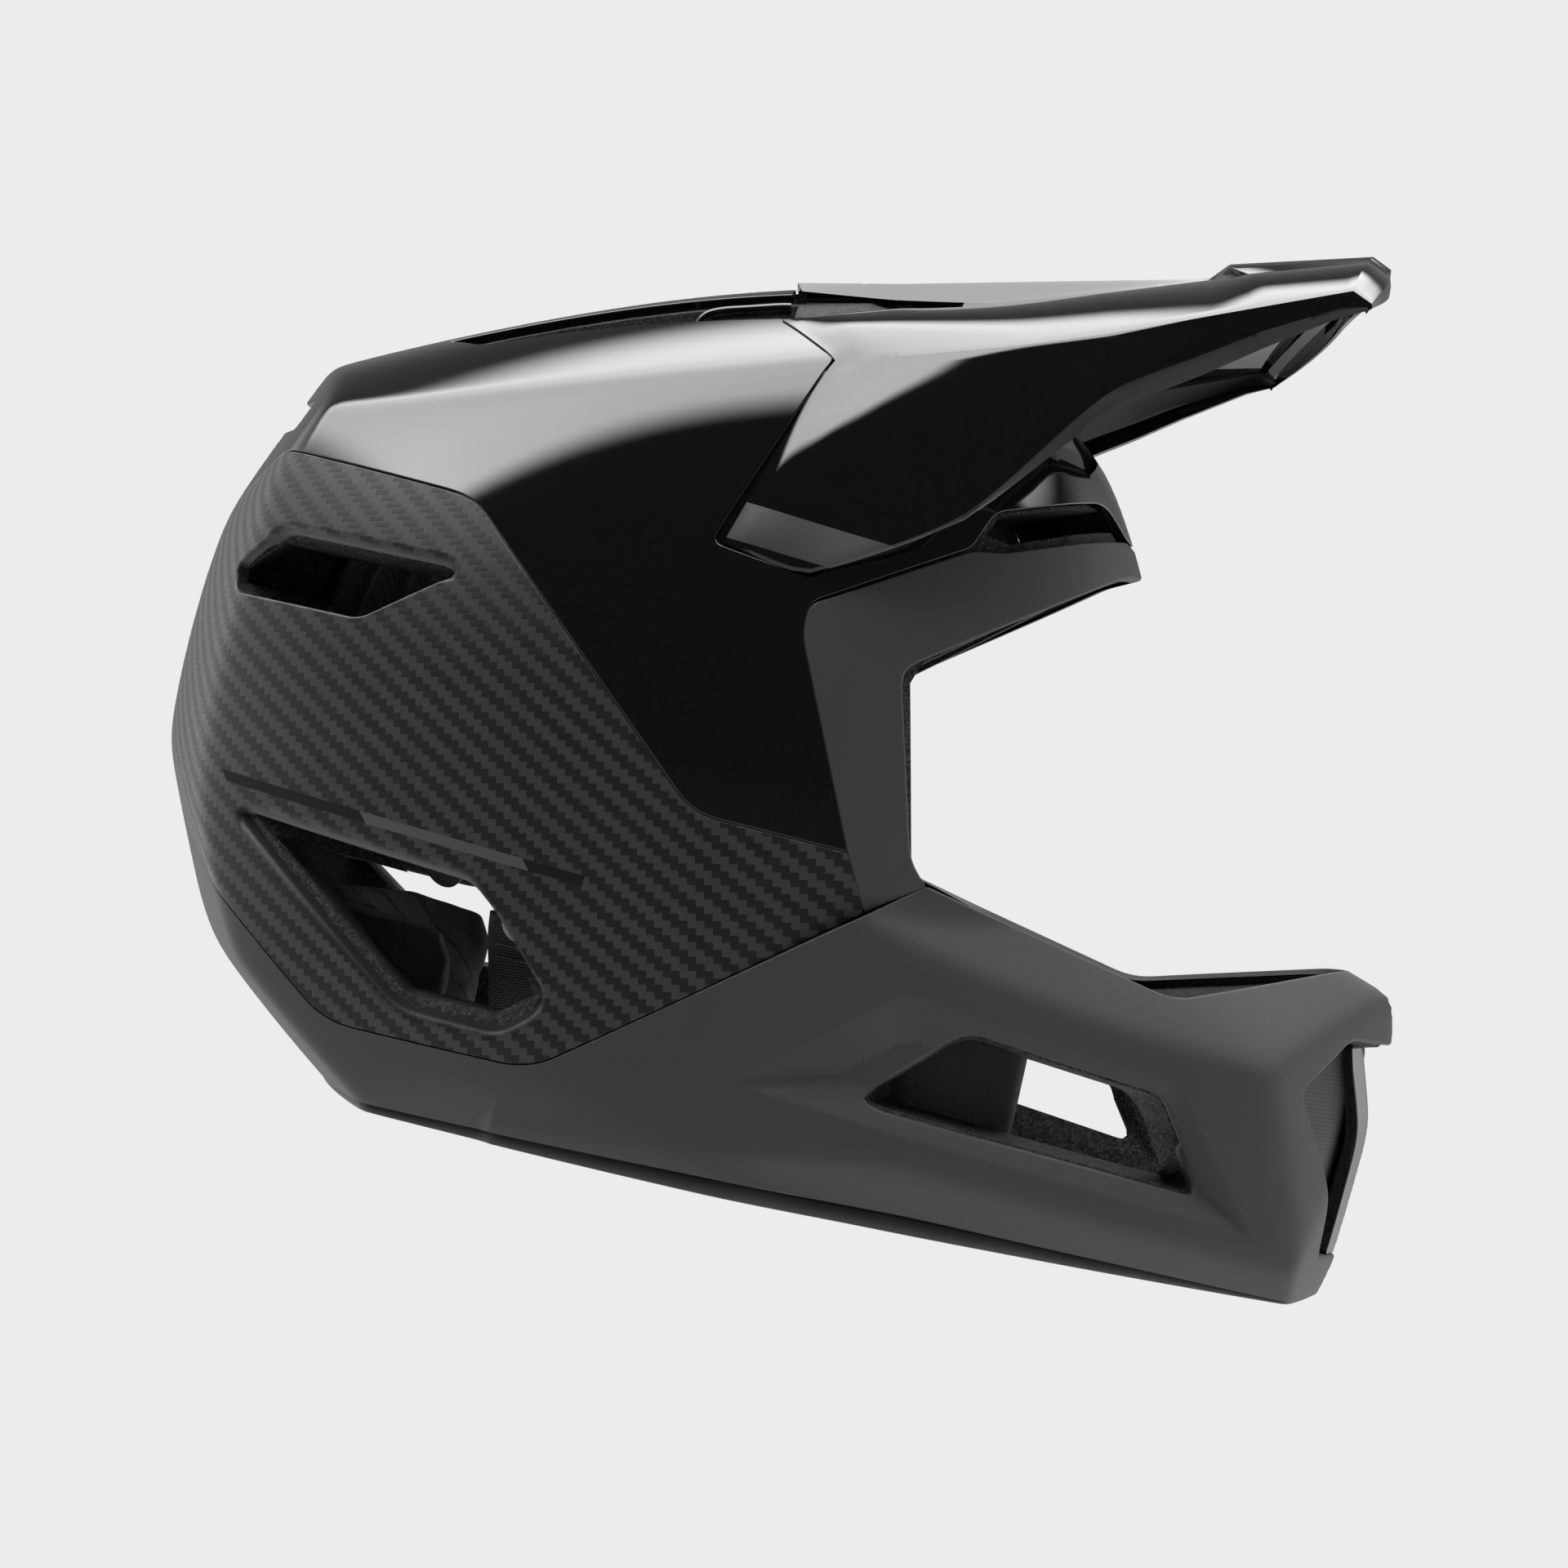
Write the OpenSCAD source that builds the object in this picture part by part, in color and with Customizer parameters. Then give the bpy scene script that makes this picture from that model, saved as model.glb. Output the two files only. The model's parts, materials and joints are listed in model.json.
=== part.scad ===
// Full-face mountain bike helmet.
// Frame: x forward, y to the wearer's left, z up; it stands on its lower rim at z = 0.
// Every wall is cut from two smooth forms, the head form and the chin form. Each
// form is the space inside a set of large spheres, one sphere per facet of the
// shell, and each sphere is given by three points on that facet and its radius.

/* [Shell] */
// Wall of the hard outer shells
wall = 2.4; // [1.6:0.1:2.8]
// Gap between neighbouring pieces
gap = 0.4; // [0.3:0.1:0.6]
// Thickness of the foam in the crown
foam_crown = 24; // [20:1:26]
// Thickness of the foam in the chin bar
foam_chin = 15; // [12:1:17]
// Thickness of the comfort padding
pad_crown = 8; // [5:1:10]

/* [Visor] */
// Thickness of the visor plate
visor_wall = 2.2; // [1.8:0.1:2.6]
// Radius of the visor's pivot studs
pivot_r = 4; // [3:0.5:5]

/* [Straps] */
// Width of the strap webbing
strap_w = 20; // [16:1:24]
// Thickness of the strap webbing
strap_t = 1.8; // [1.4:0.1:2.4]

/* [Hidden] */

PIVOT = [-4, 186];           // the visor turns here, in x and z
SCREW = [-16, 0, 262];       // middle of the visor screw, on top of the rib
SCREW_TILT = -12;

// ---------- forms ----------
HC = [-50, 0, 122];          // middle of the head form
KC = [60, 0, 45];            // middle of the chin form
EC = [-46, 0, 112];          // middle of the rounded body under the facets
EA = [150, 110, 170];        // its half axes
EL = 420;                    // its half axis below the middle
// facets of the head form: three points and a radius
HEAD = [
    [[-33, 0, 256], [-75, 0, 243], [-45, 36, 247], 700],
    [[-80, 0, 240], [-131, 0, 218], [-125, 36, 212], 700],
    [[-131, 0, 218], [-162, 0, 203], [-150, 40, 203], 1500],
    [[-118, 38, 213], [-38, 38, 241], [-19, 75, 229], 560],
    [[-138, 65, 197], [-19, 75, 229], [-60, 107, 150], 260],
    [[-162, 0, 203], [-183, 0, 153], [-160, 55, 176], 1500],
    [[-183, 0, 152], [-185, 0, 84], [-168, 60, 120], 320],
    [[-185, 0, 84], [-164, 0, 38], [-161, 60, 60], 900],
    [[-165, 0, 38], [-120, 0, 1], [-130, 66, 19], 500],
    [[79, 0, 202], [64, 0, 225], [61, 45, 205], 220],
    [[63, 0, 225], [22, 0, 251], [40, 50, 225], 250],
    [[-138, 65, 197], [-165, 62, 160], [-120, 98, 150], 300],
    [[-104, 99, 17], [-7, 105, 11], [-20, 96, 0], 900]];
// facets of the chin form
CHIN = [
    [[24, 103, 80], [146, 56, 64], [168, 47, 11], 700],
    [[-60, 107, 40], [24, 103, 80], [20, 103, 11], 1200],
    [[-38, 40, 20], [-38, 90, 20], [-38, 60, 80], 2000],
    [[24, 103, 80], [146, 56, 64], [114, 61, 79], 3000],
    [[146, 56, 65], [188, 0, 88], [114, 61, 80], 1500],
    [[165, 0, 96.6], [185, 0, 90.6], [172, 14, 94], 2000],
    [[183, 0, 12], [186, 0, 87], [157, 52, 38], 1500],
    [[-7, 105, 11], [168, 47, 9], [60, 80, 0], 900],
    [[184, 0, 12], [168, 47, 10], [174, 20, 0], 500]];

function sph(f, c) = let (u = f[1] - f[0], v = f[2] - f[0], n = cross(u, v), nn = n * n,
    m = f[0] + (cross(n, u) * (v * v) + cross(v, n) * (u * u)) / (2 * nn),
    e = n / sqrt(nn), s = (c - f[0]) * e > 0 ? 1 : -1)
    [m + e * s * sqrt(f[3] * f[3] - (m - f[0]) * (m - f[0])), f[3]];
HS = [for (f = HEAD) sph(f, HC)];
KS = [for (f = CHIN) sph(f, KC)];
function egg(p) = let (q = p - EC, a = [EA[0], EA[1], q[2] < 0 ? EL : EA[2]],
    u = [q[0] / a[0], q[1] / a[1], q[2] / a[2]], w = [u[0] / a[0], u[1] / a[1], u[2] / a[2]],
    k = norm(u)) k * (k - 1) / max(norm(w), 0.000001);
function fold(p) = [p[0], abs(p[1]), p[2]];
function soft(s) = let (m = max(s)) m + ln([for (v = s) exp(v - m)] * [for (v = s) 1]);
function s_head(p) = let (q = fold(p)) soft(concat([for (k = HS) norm(q - k[0]) - k[1]], [egg(q)]));
function s_chin(p) = let (q = fold(p)) soft([for (k = KS) norm(q - k[0]) - k[1]]);
function reach_h(n, d, t, i) = i == 0 ? t : reach_h(n, d, t - s_head(HC + n * t) - d, i - 1);
function reach_k(n, d, t, i) = i == 0 ? t : reach_k(n, d, t - s_chin(KC + n * t) - d, i - 1);

// a closed skin at depth d inside a form
module skin(c, head, d, na, ne) {
    dirs = concat([[0, 0, -1]],
        [for (j = [1:ne - 1], i = [0:na - 1]) let (e = -90 + 180 * j / ne, a = 360 * i / na)
            [cos(e) * cos(a), cos(e) * sin(a), sin(e)]], [[0, 0, 1]]);
    pts = [for (n = dirs) c + n * (head ? reach_h(n, d, 130, 14) : reach_k(n, d, 60, 30))];
    last = len(dirs) - 1;
    function id(j, i) = 1 + (j - 1) * na + i % na;
    polyhedron(pts, concat(
        [for (i = [0:na - 1]) [0, id(1, i), id(1, i + 1)]],
        [for (j = [1:ne - 2], i = [0:na - 1]) [id(j, i), id(j + 1, i), id(j, i + 1)]],
        [for (j = [1:ne - 2], i = [0:na - 1]) [id(j, i + 1), id(j + 1, i), id(j + 1, i + 1)]],
        [for (i = [0:na - 1]) [id(ne - 1, i), last, id(ne - 1, i + 1)]]));
}
module head(d, na = 40, ne = 22) { skin(HC, true, d, na, ne); }
module chin(d, na = 56, ne = 26) { skin(KC, false, d, na, ne); }
module body_form(d) { head(d); chin(d); }

// a side outline in x and z, carried straight across
module side(p, y0 = -140, y1 = 140, grow = 0)
    translate([0, y1, 0]) rotate([90, 0, 0]) linear_extrude(y1 - y0)
        offset(delta = grow) polygon(p);
module both() { children(); mirror([0, 1, 0]) children(); }

// ---------- outlines, seen from the side ----------
SEAM = [[-164, 172], [-109, 169], [-103, 167], [-28, 99], [16, 98]];
REGION_CROWN = concat([[-215, 123]], SEAM, [[-10, 153], [-10, 160], [-5, 163],
    [30, 186], [76, 204], [110, 216], [110, 320], [-215, 320]]);
REGION_REAR = concat([[-215, 123]], SEAM, [[23, 83], [-55, 23], [-112, 22], [-176, 66], [-215, 70]]);
REGION_BROW = [[23, 83], [16, 98], [-10, 153], [-10, 160], [-5, 163], [30, 186], [76, 204],
    [110, 216], [110, 206], [77, 191], [19, 149], [19, 146], [31, 100], [38, 94]];
REGION_LOWER = [[-215, 70], [-176, 66], [-112, 22], [-55, 23], [23, 83], [38, 94], [114, 78],
    [165, 96], [215, 96], [215, 1], [-215, 1]];
EYEPORT = [[79, 201], [77, 191], [19, 149], [19, 146], [31, 100], [38, 94], [114, 78], [165, 96],
    [260, 96], [260, 330], [180, 330], [110, 216]];
SIDE_VENT = [[-156, 149], [-107, 149], [-105, 147], [-128, 130], [-167, 130], [-168, 138]];
LOW_VENT = [[-148, 71], [-81, 67], [-75, 63], [-54, 42], [-66, 32], [-93, 32]];
CHIN_VENT = [[33, 35], [58, 57], [101, 52], [119, 55], [130, 27], [39, 34]];
BROW_VENT = [[31, 190], [35, 198], [67, 211], [76, 206], [40, 189]];

module vents(in = 0, deep = 0) {
    both() {
        side(SIDE_VENT, 40, 140, -in);
        side(LOW_VENT, 40, 140, -in);
        side(BROW_VENT, 10, 90, -in * 0.3);
        // long channel beside the middle rib of the crown
        translate([0, 0, 190]) linear_extrude(90) offset(delta = -in)
            polygon([[-130, 12], [-118, 34], [-44, 40], [-30, 36], [-30, 11]]);
    }
    // outlet at the back of the crown
    translate([-215, -30 + in, 180 + in / 2]) cube([70, 60 - 2 * in, 9 - in]);
}
module pivots(r, y0, y1) both() translate([PIVOT[0], y1, PIVOT[1]]) rotate([90, 0, 0]) cylinder(h = y1 - y0, r = r, $fn = 48);

// the slot that the visor screw runs along when the visor is tipped down
module screw_slot(w, x0, x1, z0) translate([x0, -w / 2, z0]) cube([x1 - x0, w, 60]);

// ---------- shells ----------
module crown_shell() color([0.03, 0.03, 0.03]) difference() {
    intersection() { head(0); side(REGION_CROWN, grow = -gap / 2); }
    head(wall);
    side(EYEPORT);
    vents();
    pivots(7.4, 80, 120);
    screw_slot(6, -20, 0, 230);
}
module rear_shell() color([0.12, 0.12, 0.12]) difference() {
    intersection() { head(0); side(REGION_REAR, grow = -gap / 2); }
    head(wall);
    vents();
}
module brow_trim() color([0.26, 0.26, 0.26]) difference() {
    intersection() { head(0); side(REGION_BROW, grow = -gap / 2); }
    head(wall);
    chin(-1);
    vents();
}
module nose_opening(grow = 0) translate([150, 0, 0]) rotate([90, 0, 90]) linear_extrude(60)
    offset(delta = grow) polygon([[-45, 60], [-20, 77], [20, 77], [45, 60], [26, 14], [-26, 14]]);
module lower_shell() color([0.24, 0.24, 0.24]) difference() {
    intersection() { body_form(0); side(REGION_LOWER, grow = -gap / 2); }
    body_form(wall);
    side(EYEPORT);
    both() side(CHIN_VENT, 30, 140);
    vents();
    nose_opening();
}

// ---------- foam ----------
module crown_foam() color([0.16, 0.16, 0.16]) difference() {
    head(wall + 0.3);
    head(wall + 0.3 + foam_crown);
    translate([-300, -200, -100]) cube([600, 400, 108]);
    side([[15, -20], [19, 60], [35, 94], [32, 100], [21, 146], [23, 152], [74, 193], [120, 222], [300, 222], [300, -20]]);
    vents(3);
    pivots(9, 82, 140);
    screw_slot(11, -23, 2, 238);
    // room for the strap ends and the pad sockets
    both() translate([-66, 60, 58]) cube([28, 61, 34], center = true);
    snaps(6.4, -1, 4.4);
}
module chin_foam() color([0.16, 0.16, 0.16]) difference() {
    intersection() { chin(wall + 0.3); side([[21, 8], [22, 60], [38.5, 91], [114, 75], [165, 93], [215, 93], [215, 8]]); }
    chin(wall + 0.3 + foam_chin);
    both() side(CHIN_VENT, 20, 140, -1);
    nose_opening(-1);
}

// ---------- padding ----------
module comfort_liner() color([0.1, 0.1, 0.1]) difference() {
    head(wall + 0.3 + foam_crown + 5.5, 32, 16);
    head(wall + 0.3 + foam_crown + 5.5 + pad_crown, 32, 16);
    side([[-250, -50], [-250, 62], [-80, 62], [-40, 128], [6, 128], [6, 152], [14, 300], [300, 300], [300, -50]]);
}
module brow_pad() color([0.1, 0.1, 0.1]) intersection() {
    difference() {
        head(wall + 1.6 + foam_crown, 32, 16);
        head(wall + 1.6 + foam_crown + 11, 32, 16);
    }
    side([[18, 156], [20, 205], [60, 205], [60, 188]], -52, 52);
}
module neck_roll() color([0.1, 0.1, 0.1]) intersection() {
    difference() {
        head(wall + 3 + foam_crown, 32, 16);
        head(wall + 1.8 + foam_crown + 13, 32, 16);
    }
    side([[-160, 10], [-160, 54], [-88, 54], [-82, 44], [-82, 10]]);
}
// the part of the pad that fills the jaw, ahead of the crown foam
JAW = [[21, 0], [21, 60], [37, 94], [200, 94], [200, 0]];
module cheek() color([0.11, 0.11, 0.11]) difference() {
    intersection() {
        union() {
            head(wall + 1 + foam_crown, 32, 16);
            intersection() { chin(wall + 1.4 + foam_chin, 36, 16); side(JAW); }
        }
        side([[-44, 14], [-44, 100], [-30, 118], [8, 118], [20, 94], [30, 84], [78, 70], [78, 22], [60, 12]], 20, 100);
    }
    union() {
        head(wall + 1 + foam_crown + 17, 32, 16);
        intersection() { chin(wall + 1.4 + foam_chin + 25, 36, 16); side(JAW); }
    }
}
module cheek_pad_left() cheek();
module cheek_pad_right() mirror([0, 1, 0]) cheek();
// press studs that hold the cheek pads, sunk in the foam
SNAP = [[-52, 63], [-128, 50], [-20, 62]];
module snaps(r, a, b) both() for (p = SNAP)
    let (n = [cos(p[1]) * cos(p[0]), sin(p[1]), cos(p[1]) * sin(p[0])], t = reach_h(n, wall + 0.3 + foam_crown, 130, 14))
    translate(HC + n * (t + a)) rotate([0, acos(n[2]), atan2(n[1], n[0])]) cylinder(h = b - a, r = r, $fn = 40);
module cheek_snaps() color([0.2, 0.2, 0.2]) snaps(6, 1.8, 4);
// soft discs between the foam and the liner
module damper_discs() color([0.3, 0.3, 0.32]) both() for (a = [[54, 15], [111, 34], [161, 19], [178, 24], [116, 62]])
    let (n = [cos(a[1]) * cos(a[0]), sin(a[1]), cos(a[1]) * sin(a[0])], t = reach_h(n, wall + 0.3 + foam_crown, 130, 14))
    translate(HC + n * (t - 3.8)) rotate([0, acos(n[2]), atan2(n[1], n[0])]) cylinder(h = 2.2, r = 7, $fn = 40);

// ---------- visor ----------
// rows of the visor from the middle rib to the lower edge: x, y, z by station
VISOR = [
    [[-30, 0, 259], [8, 0, 267], [45, 0, 276], [82, 0, 284], [90, 0, 291], [126, 0, 301], [133, 0, 294]],
    [[-30, 8, 259], [8, 7, 267], [45, 6, 275], [82, 5, 284], [90, 16, 290], [125, 22, 300], [132, 24, 293]],
    [[-30, 12, 250], [8, 11, 258], [45, 13, 270], [82, 12, 282], [90, 20, 287], [124, 28, 298], [131, 29, 292]],
    [[-39, 44, 239], [-6, 40, 251], [36, 34, 266], [80, 30, 280], [92, 34, 284], [122, 44, 294], [129, 46, 289]],
    [[-20, 74, 231], [4, 80, 238], [40, 86, 249], [76, 91, 262], [90, 93, 267], [113, 97, 275], [120, 98, 276]],
    [[-28, 96, 196], [6, 92, 214], [47, 94, 238], [80, 96, 255], [92, 97, 261], [114, 99, 271], [121, 100, 273]],
    [[-36, 104, 171], [-12, 106, 168], [24, 102, 190], [55, 101, 227], [80, 101, 245], [104, 101, 262], [119, 101, 271]]];
module visor_plate(t) {
    // the far half is the near half mirrored in the middle plane
    nr = len(VISOR);
    rows = concat([for (i = [nr - 1:-1:1]) [for (p = VISOR[i]) [p[0], -p[1], p[2]]]], VISOR);
    m = len(rows); k = len(rows[0]);
    function n(i, j) = let (a = rows[min(i + 1, m - 1)][j] - rows[max(i - 1, 0)][j],
        b = rows[i][min(j + 1, k - 1)] - rows[i][max(j - 1, 0)], c = cross(a, b)) c / norm(c);
    top = [for (i = [0:m - 1], j = [0:k - 1]) rows[i][j]];
    low = [for (i = [0:m - 1], j = [0:k - 1]) rows[i][j] + n(i, j) * t];
    o = m * k;
    polyhedron(concat(top, low), concat(
        [for (i = [0:m - 2], j = [0:k - 2]) [i * k + j, i * k + j + 1, (i + 1) * k + j + 1]],
        [for (i = [0:m - 2], j = [0:k - 2]) [i * k + j, (i + 1) * k + j + 1, (i + 1) * k + j]],
        [for (i = [0:m - 2], j = [0:k - 2]) [o + i * k + j, o + (i + 1) * k + j + 1, o + i * k + j + 1]],
        [for (i = [0:m - 2], j = [0:k - 2]) [o + i * k + j, o + (i + 1) * k + j, o + (i + 1) * k + j + 1]],
        [for (i = [0:m - 2]) [i * k, (i + 1) * k, o + (i + 1) * k]],
        [for (i = [0:m - 2]) [i * k, o + (i + 1) * k, o + i * k]],
        [for (i = [0:m - 2]) [i * k + k - 1, o + (i + 1) * k + k - 1, (i + 1) * k + k - 1]],
        [for (i = [0:m - 2]) [i * k + k - 1, o + i * k + k - 1, o + (i + 1) * k + k - 1]],
        [for (j = [0:k - 2]) [j, o + j + 1, j + 1]],
        [for (j = [0:k - 2]) [j, o + j, o + j + 1]],
        [for (j = [0:k - 2]) [(m - 1) * k + j, (m - 1) * k + j + 1, o + (m - 1) * k + j + 1]],
        [for (j = [0:k - 2]) [(m - 1) * k + j, o + (m - 1) * k + j + 1, o + (m - 1) * k + j]]));
}
module visor() color([0.03, 0.03, 0.03]) difference() {
    visor_plate(visor_wall);
    // room over the crown through the whole tilt
    for (a = [-8.5, -6, -3, 0]) translate([PIVOT[0], 0, PIVOT[1]]) rotate([0, a, 0])
        translate([-PIVOT[0], 0, -PIVOT[1]]) head(-0.8);
    both() linear_extrude(400) polygon([[-50, 12], [-50, 38], [-28, 37], [22, 17], [18, 14]]);
    // seat of the screw
    translate(SCREW) rotate([0, SCREW_TILT, 0]) {
        translate([0, 0, -1.5]) cylinder(h = 20, r = 4.9, $fn = 48);
        translate([0, 0, -20]) cylinder(h = 30, r = 2.25, $fn = 48);
    }
}
module visor_studs() color([0.5, 0.5, 0.52]) pivots(pivot_r, 84, 98.5);
module visor_sockets() color([0.15, 0.15, 0.15]) difference() {
    pivots(7, 83, 93.6);
    pivots(pivot_r + 0.05, 70, 120);
}
module visor_screw() color([0.45, 0.45, 0.47]) translate(SCREW) rotate([0, SCREW_TILT, 0]) difference() {
    union() {
        translate([0, 0, -1.2]) cylinder(h = 1.5, r = 4.5, $fn = 48);
        translate([0, 0, -15]) cylinder(h = 14.5, r = 2.2, $fn = 48);
        translate([0, 0, -14.6]) cylinder(h = 2.4, r = 4.2, $fn = 48);
    }
    translate([-6, -0.5, -0.5]) cube([12, 1, 3]);
}
// low air ducts across the front end of the crown channels
module crown_ducts() color([0.04, 0.04, 0.04]) both() difference() {
    translate([-57, 15, 229.5]) rotate([0, -16, 0]) cube([24, 16, 9]);
    translate([-60, 17, 229]) rotate([0, -16, 0]) cube([32, 12, 5]);
}

// ---------- chin bar front ----------
module chin_grille() color([0.03, 0.03, 0.03]) intersection() {
    difference() { chin(0.6); chin(2.5); }
    translate([150, 0, 0]) rotate([90, 0, 90]) linear_extrude(60) difference() {
        polygon([[-18.5, 75.4], [18.5, 75.4], [23, 72.3], [19.5, 16], [-19.5, 16], [-23, 72.3]]);
        for (z = [24:10:64]) translate([-12 - z / 12, z - 2]) square([24 + z / 6, 4.5]);
    }
}
module grille_mesh() color([0.1, 0.1, 0.1]) translate([158, 0, 0]) rotate([90, 0, 90]) linear_extrude(1.2) difference() {
    polygon([[-36, 60], [-18, 72], [18, 72], [36, 60], [22, 20], [-22, 20]]);
    for (z = [26:8:58], y = [-16:8:16]) translate([y - 2.5, z - 2.5]) square(5);
}

// ---------- lower rim ----------
RIM = [[-118, 0], [-115, 38], [-104, 64], [-88, 80], [-60, 89], [-10, 92], [26, 87], [60, 77], [100, 64],
    [130, 53], [150, 43], [162, 27], [168, 0]];
module rim(g) polygon(concat([for (p = RIM) [p[0] + (p[0] < 0 ? -g : g) * 0.8, p[1] == 0 ? 0 : p[1] + g]],
    [for (i = [len(RIM) - 2:-1:1]) [RIM[i][0] + (RIM[i][0] < 0 ? -g : g) * 0.8, -RIM[i][1] - g]]));
module base_trim() color([0.06, 0.06, 0.06]) intersection() {
    difference() {
        linear_extrude(6) rim(0);
        translate([0, 0, -1]) linear_extrude(8) rim(-5);
    }
    body_form(wall + 0.4);
}

// ---------- straps ----------
module web(a, b) hull() { for (p = [a, b]) translate(p) cube([strap_w, strap_t, strap_t], center = true); }
STRAP = [[-66, 84, 60], [-63, 66, 40], [-60, 50, 26], [-58, 36, 19], [-56, 20, 15]];
module strap() color([0.08, 0.08, 0.08]) for (i = [0:len(STRAP) - 2]) web(STRAP[i], STRAP[i + 1]);
module strap_left() strap();
module strap_right() mirror([0, 1, 0]) strap();
module strap_anchors() color([0.6, 0.6, 0.62]) both() translate([-66, 90, 60]) rotate([90, 0, 0])
    difference() { cylinder(h = 4, r = 6, $fn = 32); translate([0, 0, -1]) cylinder(h = 2, r = 2, $fn = 24); }
module buckle_body() color([0.07, 0.07, 0.07]) difference() {
    translate([-68, 1, 11]) cube([24, 18.4, 8]);
    translate([-64, -1, 13]) cube([16, 12, 4]);
    translate([-60, 4, 16]) cube([8, 12, 6]);
}
module buckle_tongue() color([0.07, 0.07, 0.07]) union() {
    translate([-68, -19.4, 11]) cube([24, 20, 8]);
    translate([-63.6, 0.4, 13.4]) cube([15.2, 9, 3.2]);
}
module buckle_release() color([0.5, 0.1, 0.1]) translate([-59.6, 4.4, 17.4]) cube([7.2, 6, 3]);
module strap_keeper() color([0.05, 0.05, 0.05]) translate([-59, -43, 22.5]) rotate([-26.6, 0, 0]) difference() {
    cube([strap_w + 5, 6, 6], center = true);
    cube([strap_w + 3, 8, 3], center = true);
}
module pull_tabs() color([0.1, 0.1, 0.1]) both() translate([-88, 71, 0.6]) cube([14, 2, 6.6]);

crown_shell();
rear_shell();
lower_shell();
brow_trim();
crown_foam();
chin_foam();
comfort_liner();
brow_pad();
neck_roll();
cheek_pad_left();
cheek_pad_right();
cheek_snaps();
damper_discs();
visor();
visor_studs();
visor_sockets();
visor_screw();
crown_ducts();
chin_grille();
grille_mesh();
base_trim();
strap_left();
strap_right();
strap_anchors();
buckle_body();
buckle_tongue();
buckle_release();
strap_keeper();
pull_tabs();
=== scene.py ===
import bpy, bmesh, math
import numpy as np
from mathutils import Vector, Matrix, geometry, kdtree
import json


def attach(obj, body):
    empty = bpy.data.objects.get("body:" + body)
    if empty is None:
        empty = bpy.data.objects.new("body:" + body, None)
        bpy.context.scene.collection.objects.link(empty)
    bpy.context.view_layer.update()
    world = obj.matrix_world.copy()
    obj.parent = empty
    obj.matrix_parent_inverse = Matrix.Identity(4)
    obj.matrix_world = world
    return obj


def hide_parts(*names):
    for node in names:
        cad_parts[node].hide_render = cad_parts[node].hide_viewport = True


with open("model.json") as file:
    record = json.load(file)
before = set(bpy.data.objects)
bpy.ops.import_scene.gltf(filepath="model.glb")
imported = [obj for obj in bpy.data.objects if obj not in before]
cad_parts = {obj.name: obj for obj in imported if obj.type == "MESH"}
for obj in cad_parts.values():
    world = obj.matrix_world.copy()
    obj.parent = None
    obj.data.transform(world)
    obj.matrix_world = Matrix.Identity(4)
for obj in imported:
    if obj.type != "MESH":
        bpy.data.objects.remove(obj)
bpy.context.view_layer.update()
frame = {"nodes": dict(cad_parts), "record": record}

MM = 0.001
SC = bpy.context.scene


def arr(*a):
    return np.array(a, float)


# ------------------------------------------------------------------
# The two smooth forms of the shell, in millimetres, as in the CAD
# ------------------------------------------------------------------
HC = arr(-50, 0, 122)
KC = arr(60, 0, 45)
EC = arr(-46, 0, 112)
EA = arr(150, 110, 170)
EL = 420.0
HEAD = [
    [[-33, 0, 256], [-75, 0, 243], [-45, 36, 247], 700],
    [[-80, 0, 240], [-131, 0, 218], [-125, 36, 212], 700],
    [[-131, 0, 218], [-162, 0, 203], [-150, 40, 203], 1500],
    [[-118, 38, 213], [-38, 38, 241], [-19, 75, 229], 560],
    [[-138, 65, 197], [-19, 75, 229], [-60, 107, 150], 260],
    [[-162, 0, 203], [-183, 0, 153], [-160, 55, 176], 1500],
    [[-183, 0, 152], [-185, 0, 84], [-168, 60, 120], 320],
    [[-185, 0, 84], [-164, 0, 38], [-161, 60, 60], 900],
    [[-165, 0, 38], [-120, 0, 1], [-130, 66, 19], 500],
    [[79, 0, 202], [64, 0, 225], [61, 45, 205], 220],
    [[63, 0, 225], [22, 0, 251], [40, 50, 225], 250],
    [[-138, 65, 197], [-165, 62, 160], [-120, 98, 150], 300],
    [[-104, 99, 17], [-7, 105, 11], [-20, 96, 0], 900]]
CHIN = [
    [[24, 103, 80], [146, 56, 64], [168, 47, 11], 700],
    [[-60, 107, 40], [24, 103, 80], [20, 103, 11], 1200],
    [[-38, 40, 20], [-38, 90, 20], [-38, 60, 80], 2000],
    [[24, 103, 80], [146, 56, 64], [114, 61, 79], 3000],
    [[146, 56, 65], [188, 0, 88], [114, 61, 80], 1500],
    [[165, 0, 96.6], [185, 0, 90.6], [172, 14, 94], 2000],
    [[183, 0, 12], [186, 0, 87], [174, 30, 38], 1500],
    [[146, 56, 64], [168, 47, 11], [165, 34, 60], 2000],
    [[-7, 105, 11], [168, 47, 9], [60, 80, 0], 900],
    [[184, 0, 12], [168, 47, 10], [174, 20, 0], 500]]


def balls(facets, c):
    out = []
    for p, q, r, R in facets:
        p, q, r = arr(*p), arr(*q), arr(*r)
        u, v = q - p, r - p
        n = np.cross(u, v)
        nn = n @ n
        m = p + (np.cross(n, u) * (v @ v) + np.cross(v, n) * (u @ u)) / (2 * nn)
        e = n / math.sqrt(nn)
        s = 1 if (c - p) @ e > 0 else -1
        out.append((m + e * s * math.sqrt(R * R - (m - p) @ (m - p)), R))
    return out


HS, KS = balls(HEAD, HC), balls(CHIN, KC)


def soft_max(S):
    m = S[0].copy()
    for s in S[1:]:
        np.maximum(m, s, out=m)
    t = np.zeros_like(m)
    for s in S:
        t += np.exp(s - m)
    return m + np.log(t)


def fold(P):
    Q = np.array(P, float)
    Q[:, 1] = np.abs(Q[:, 1])
    return Q


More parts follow.
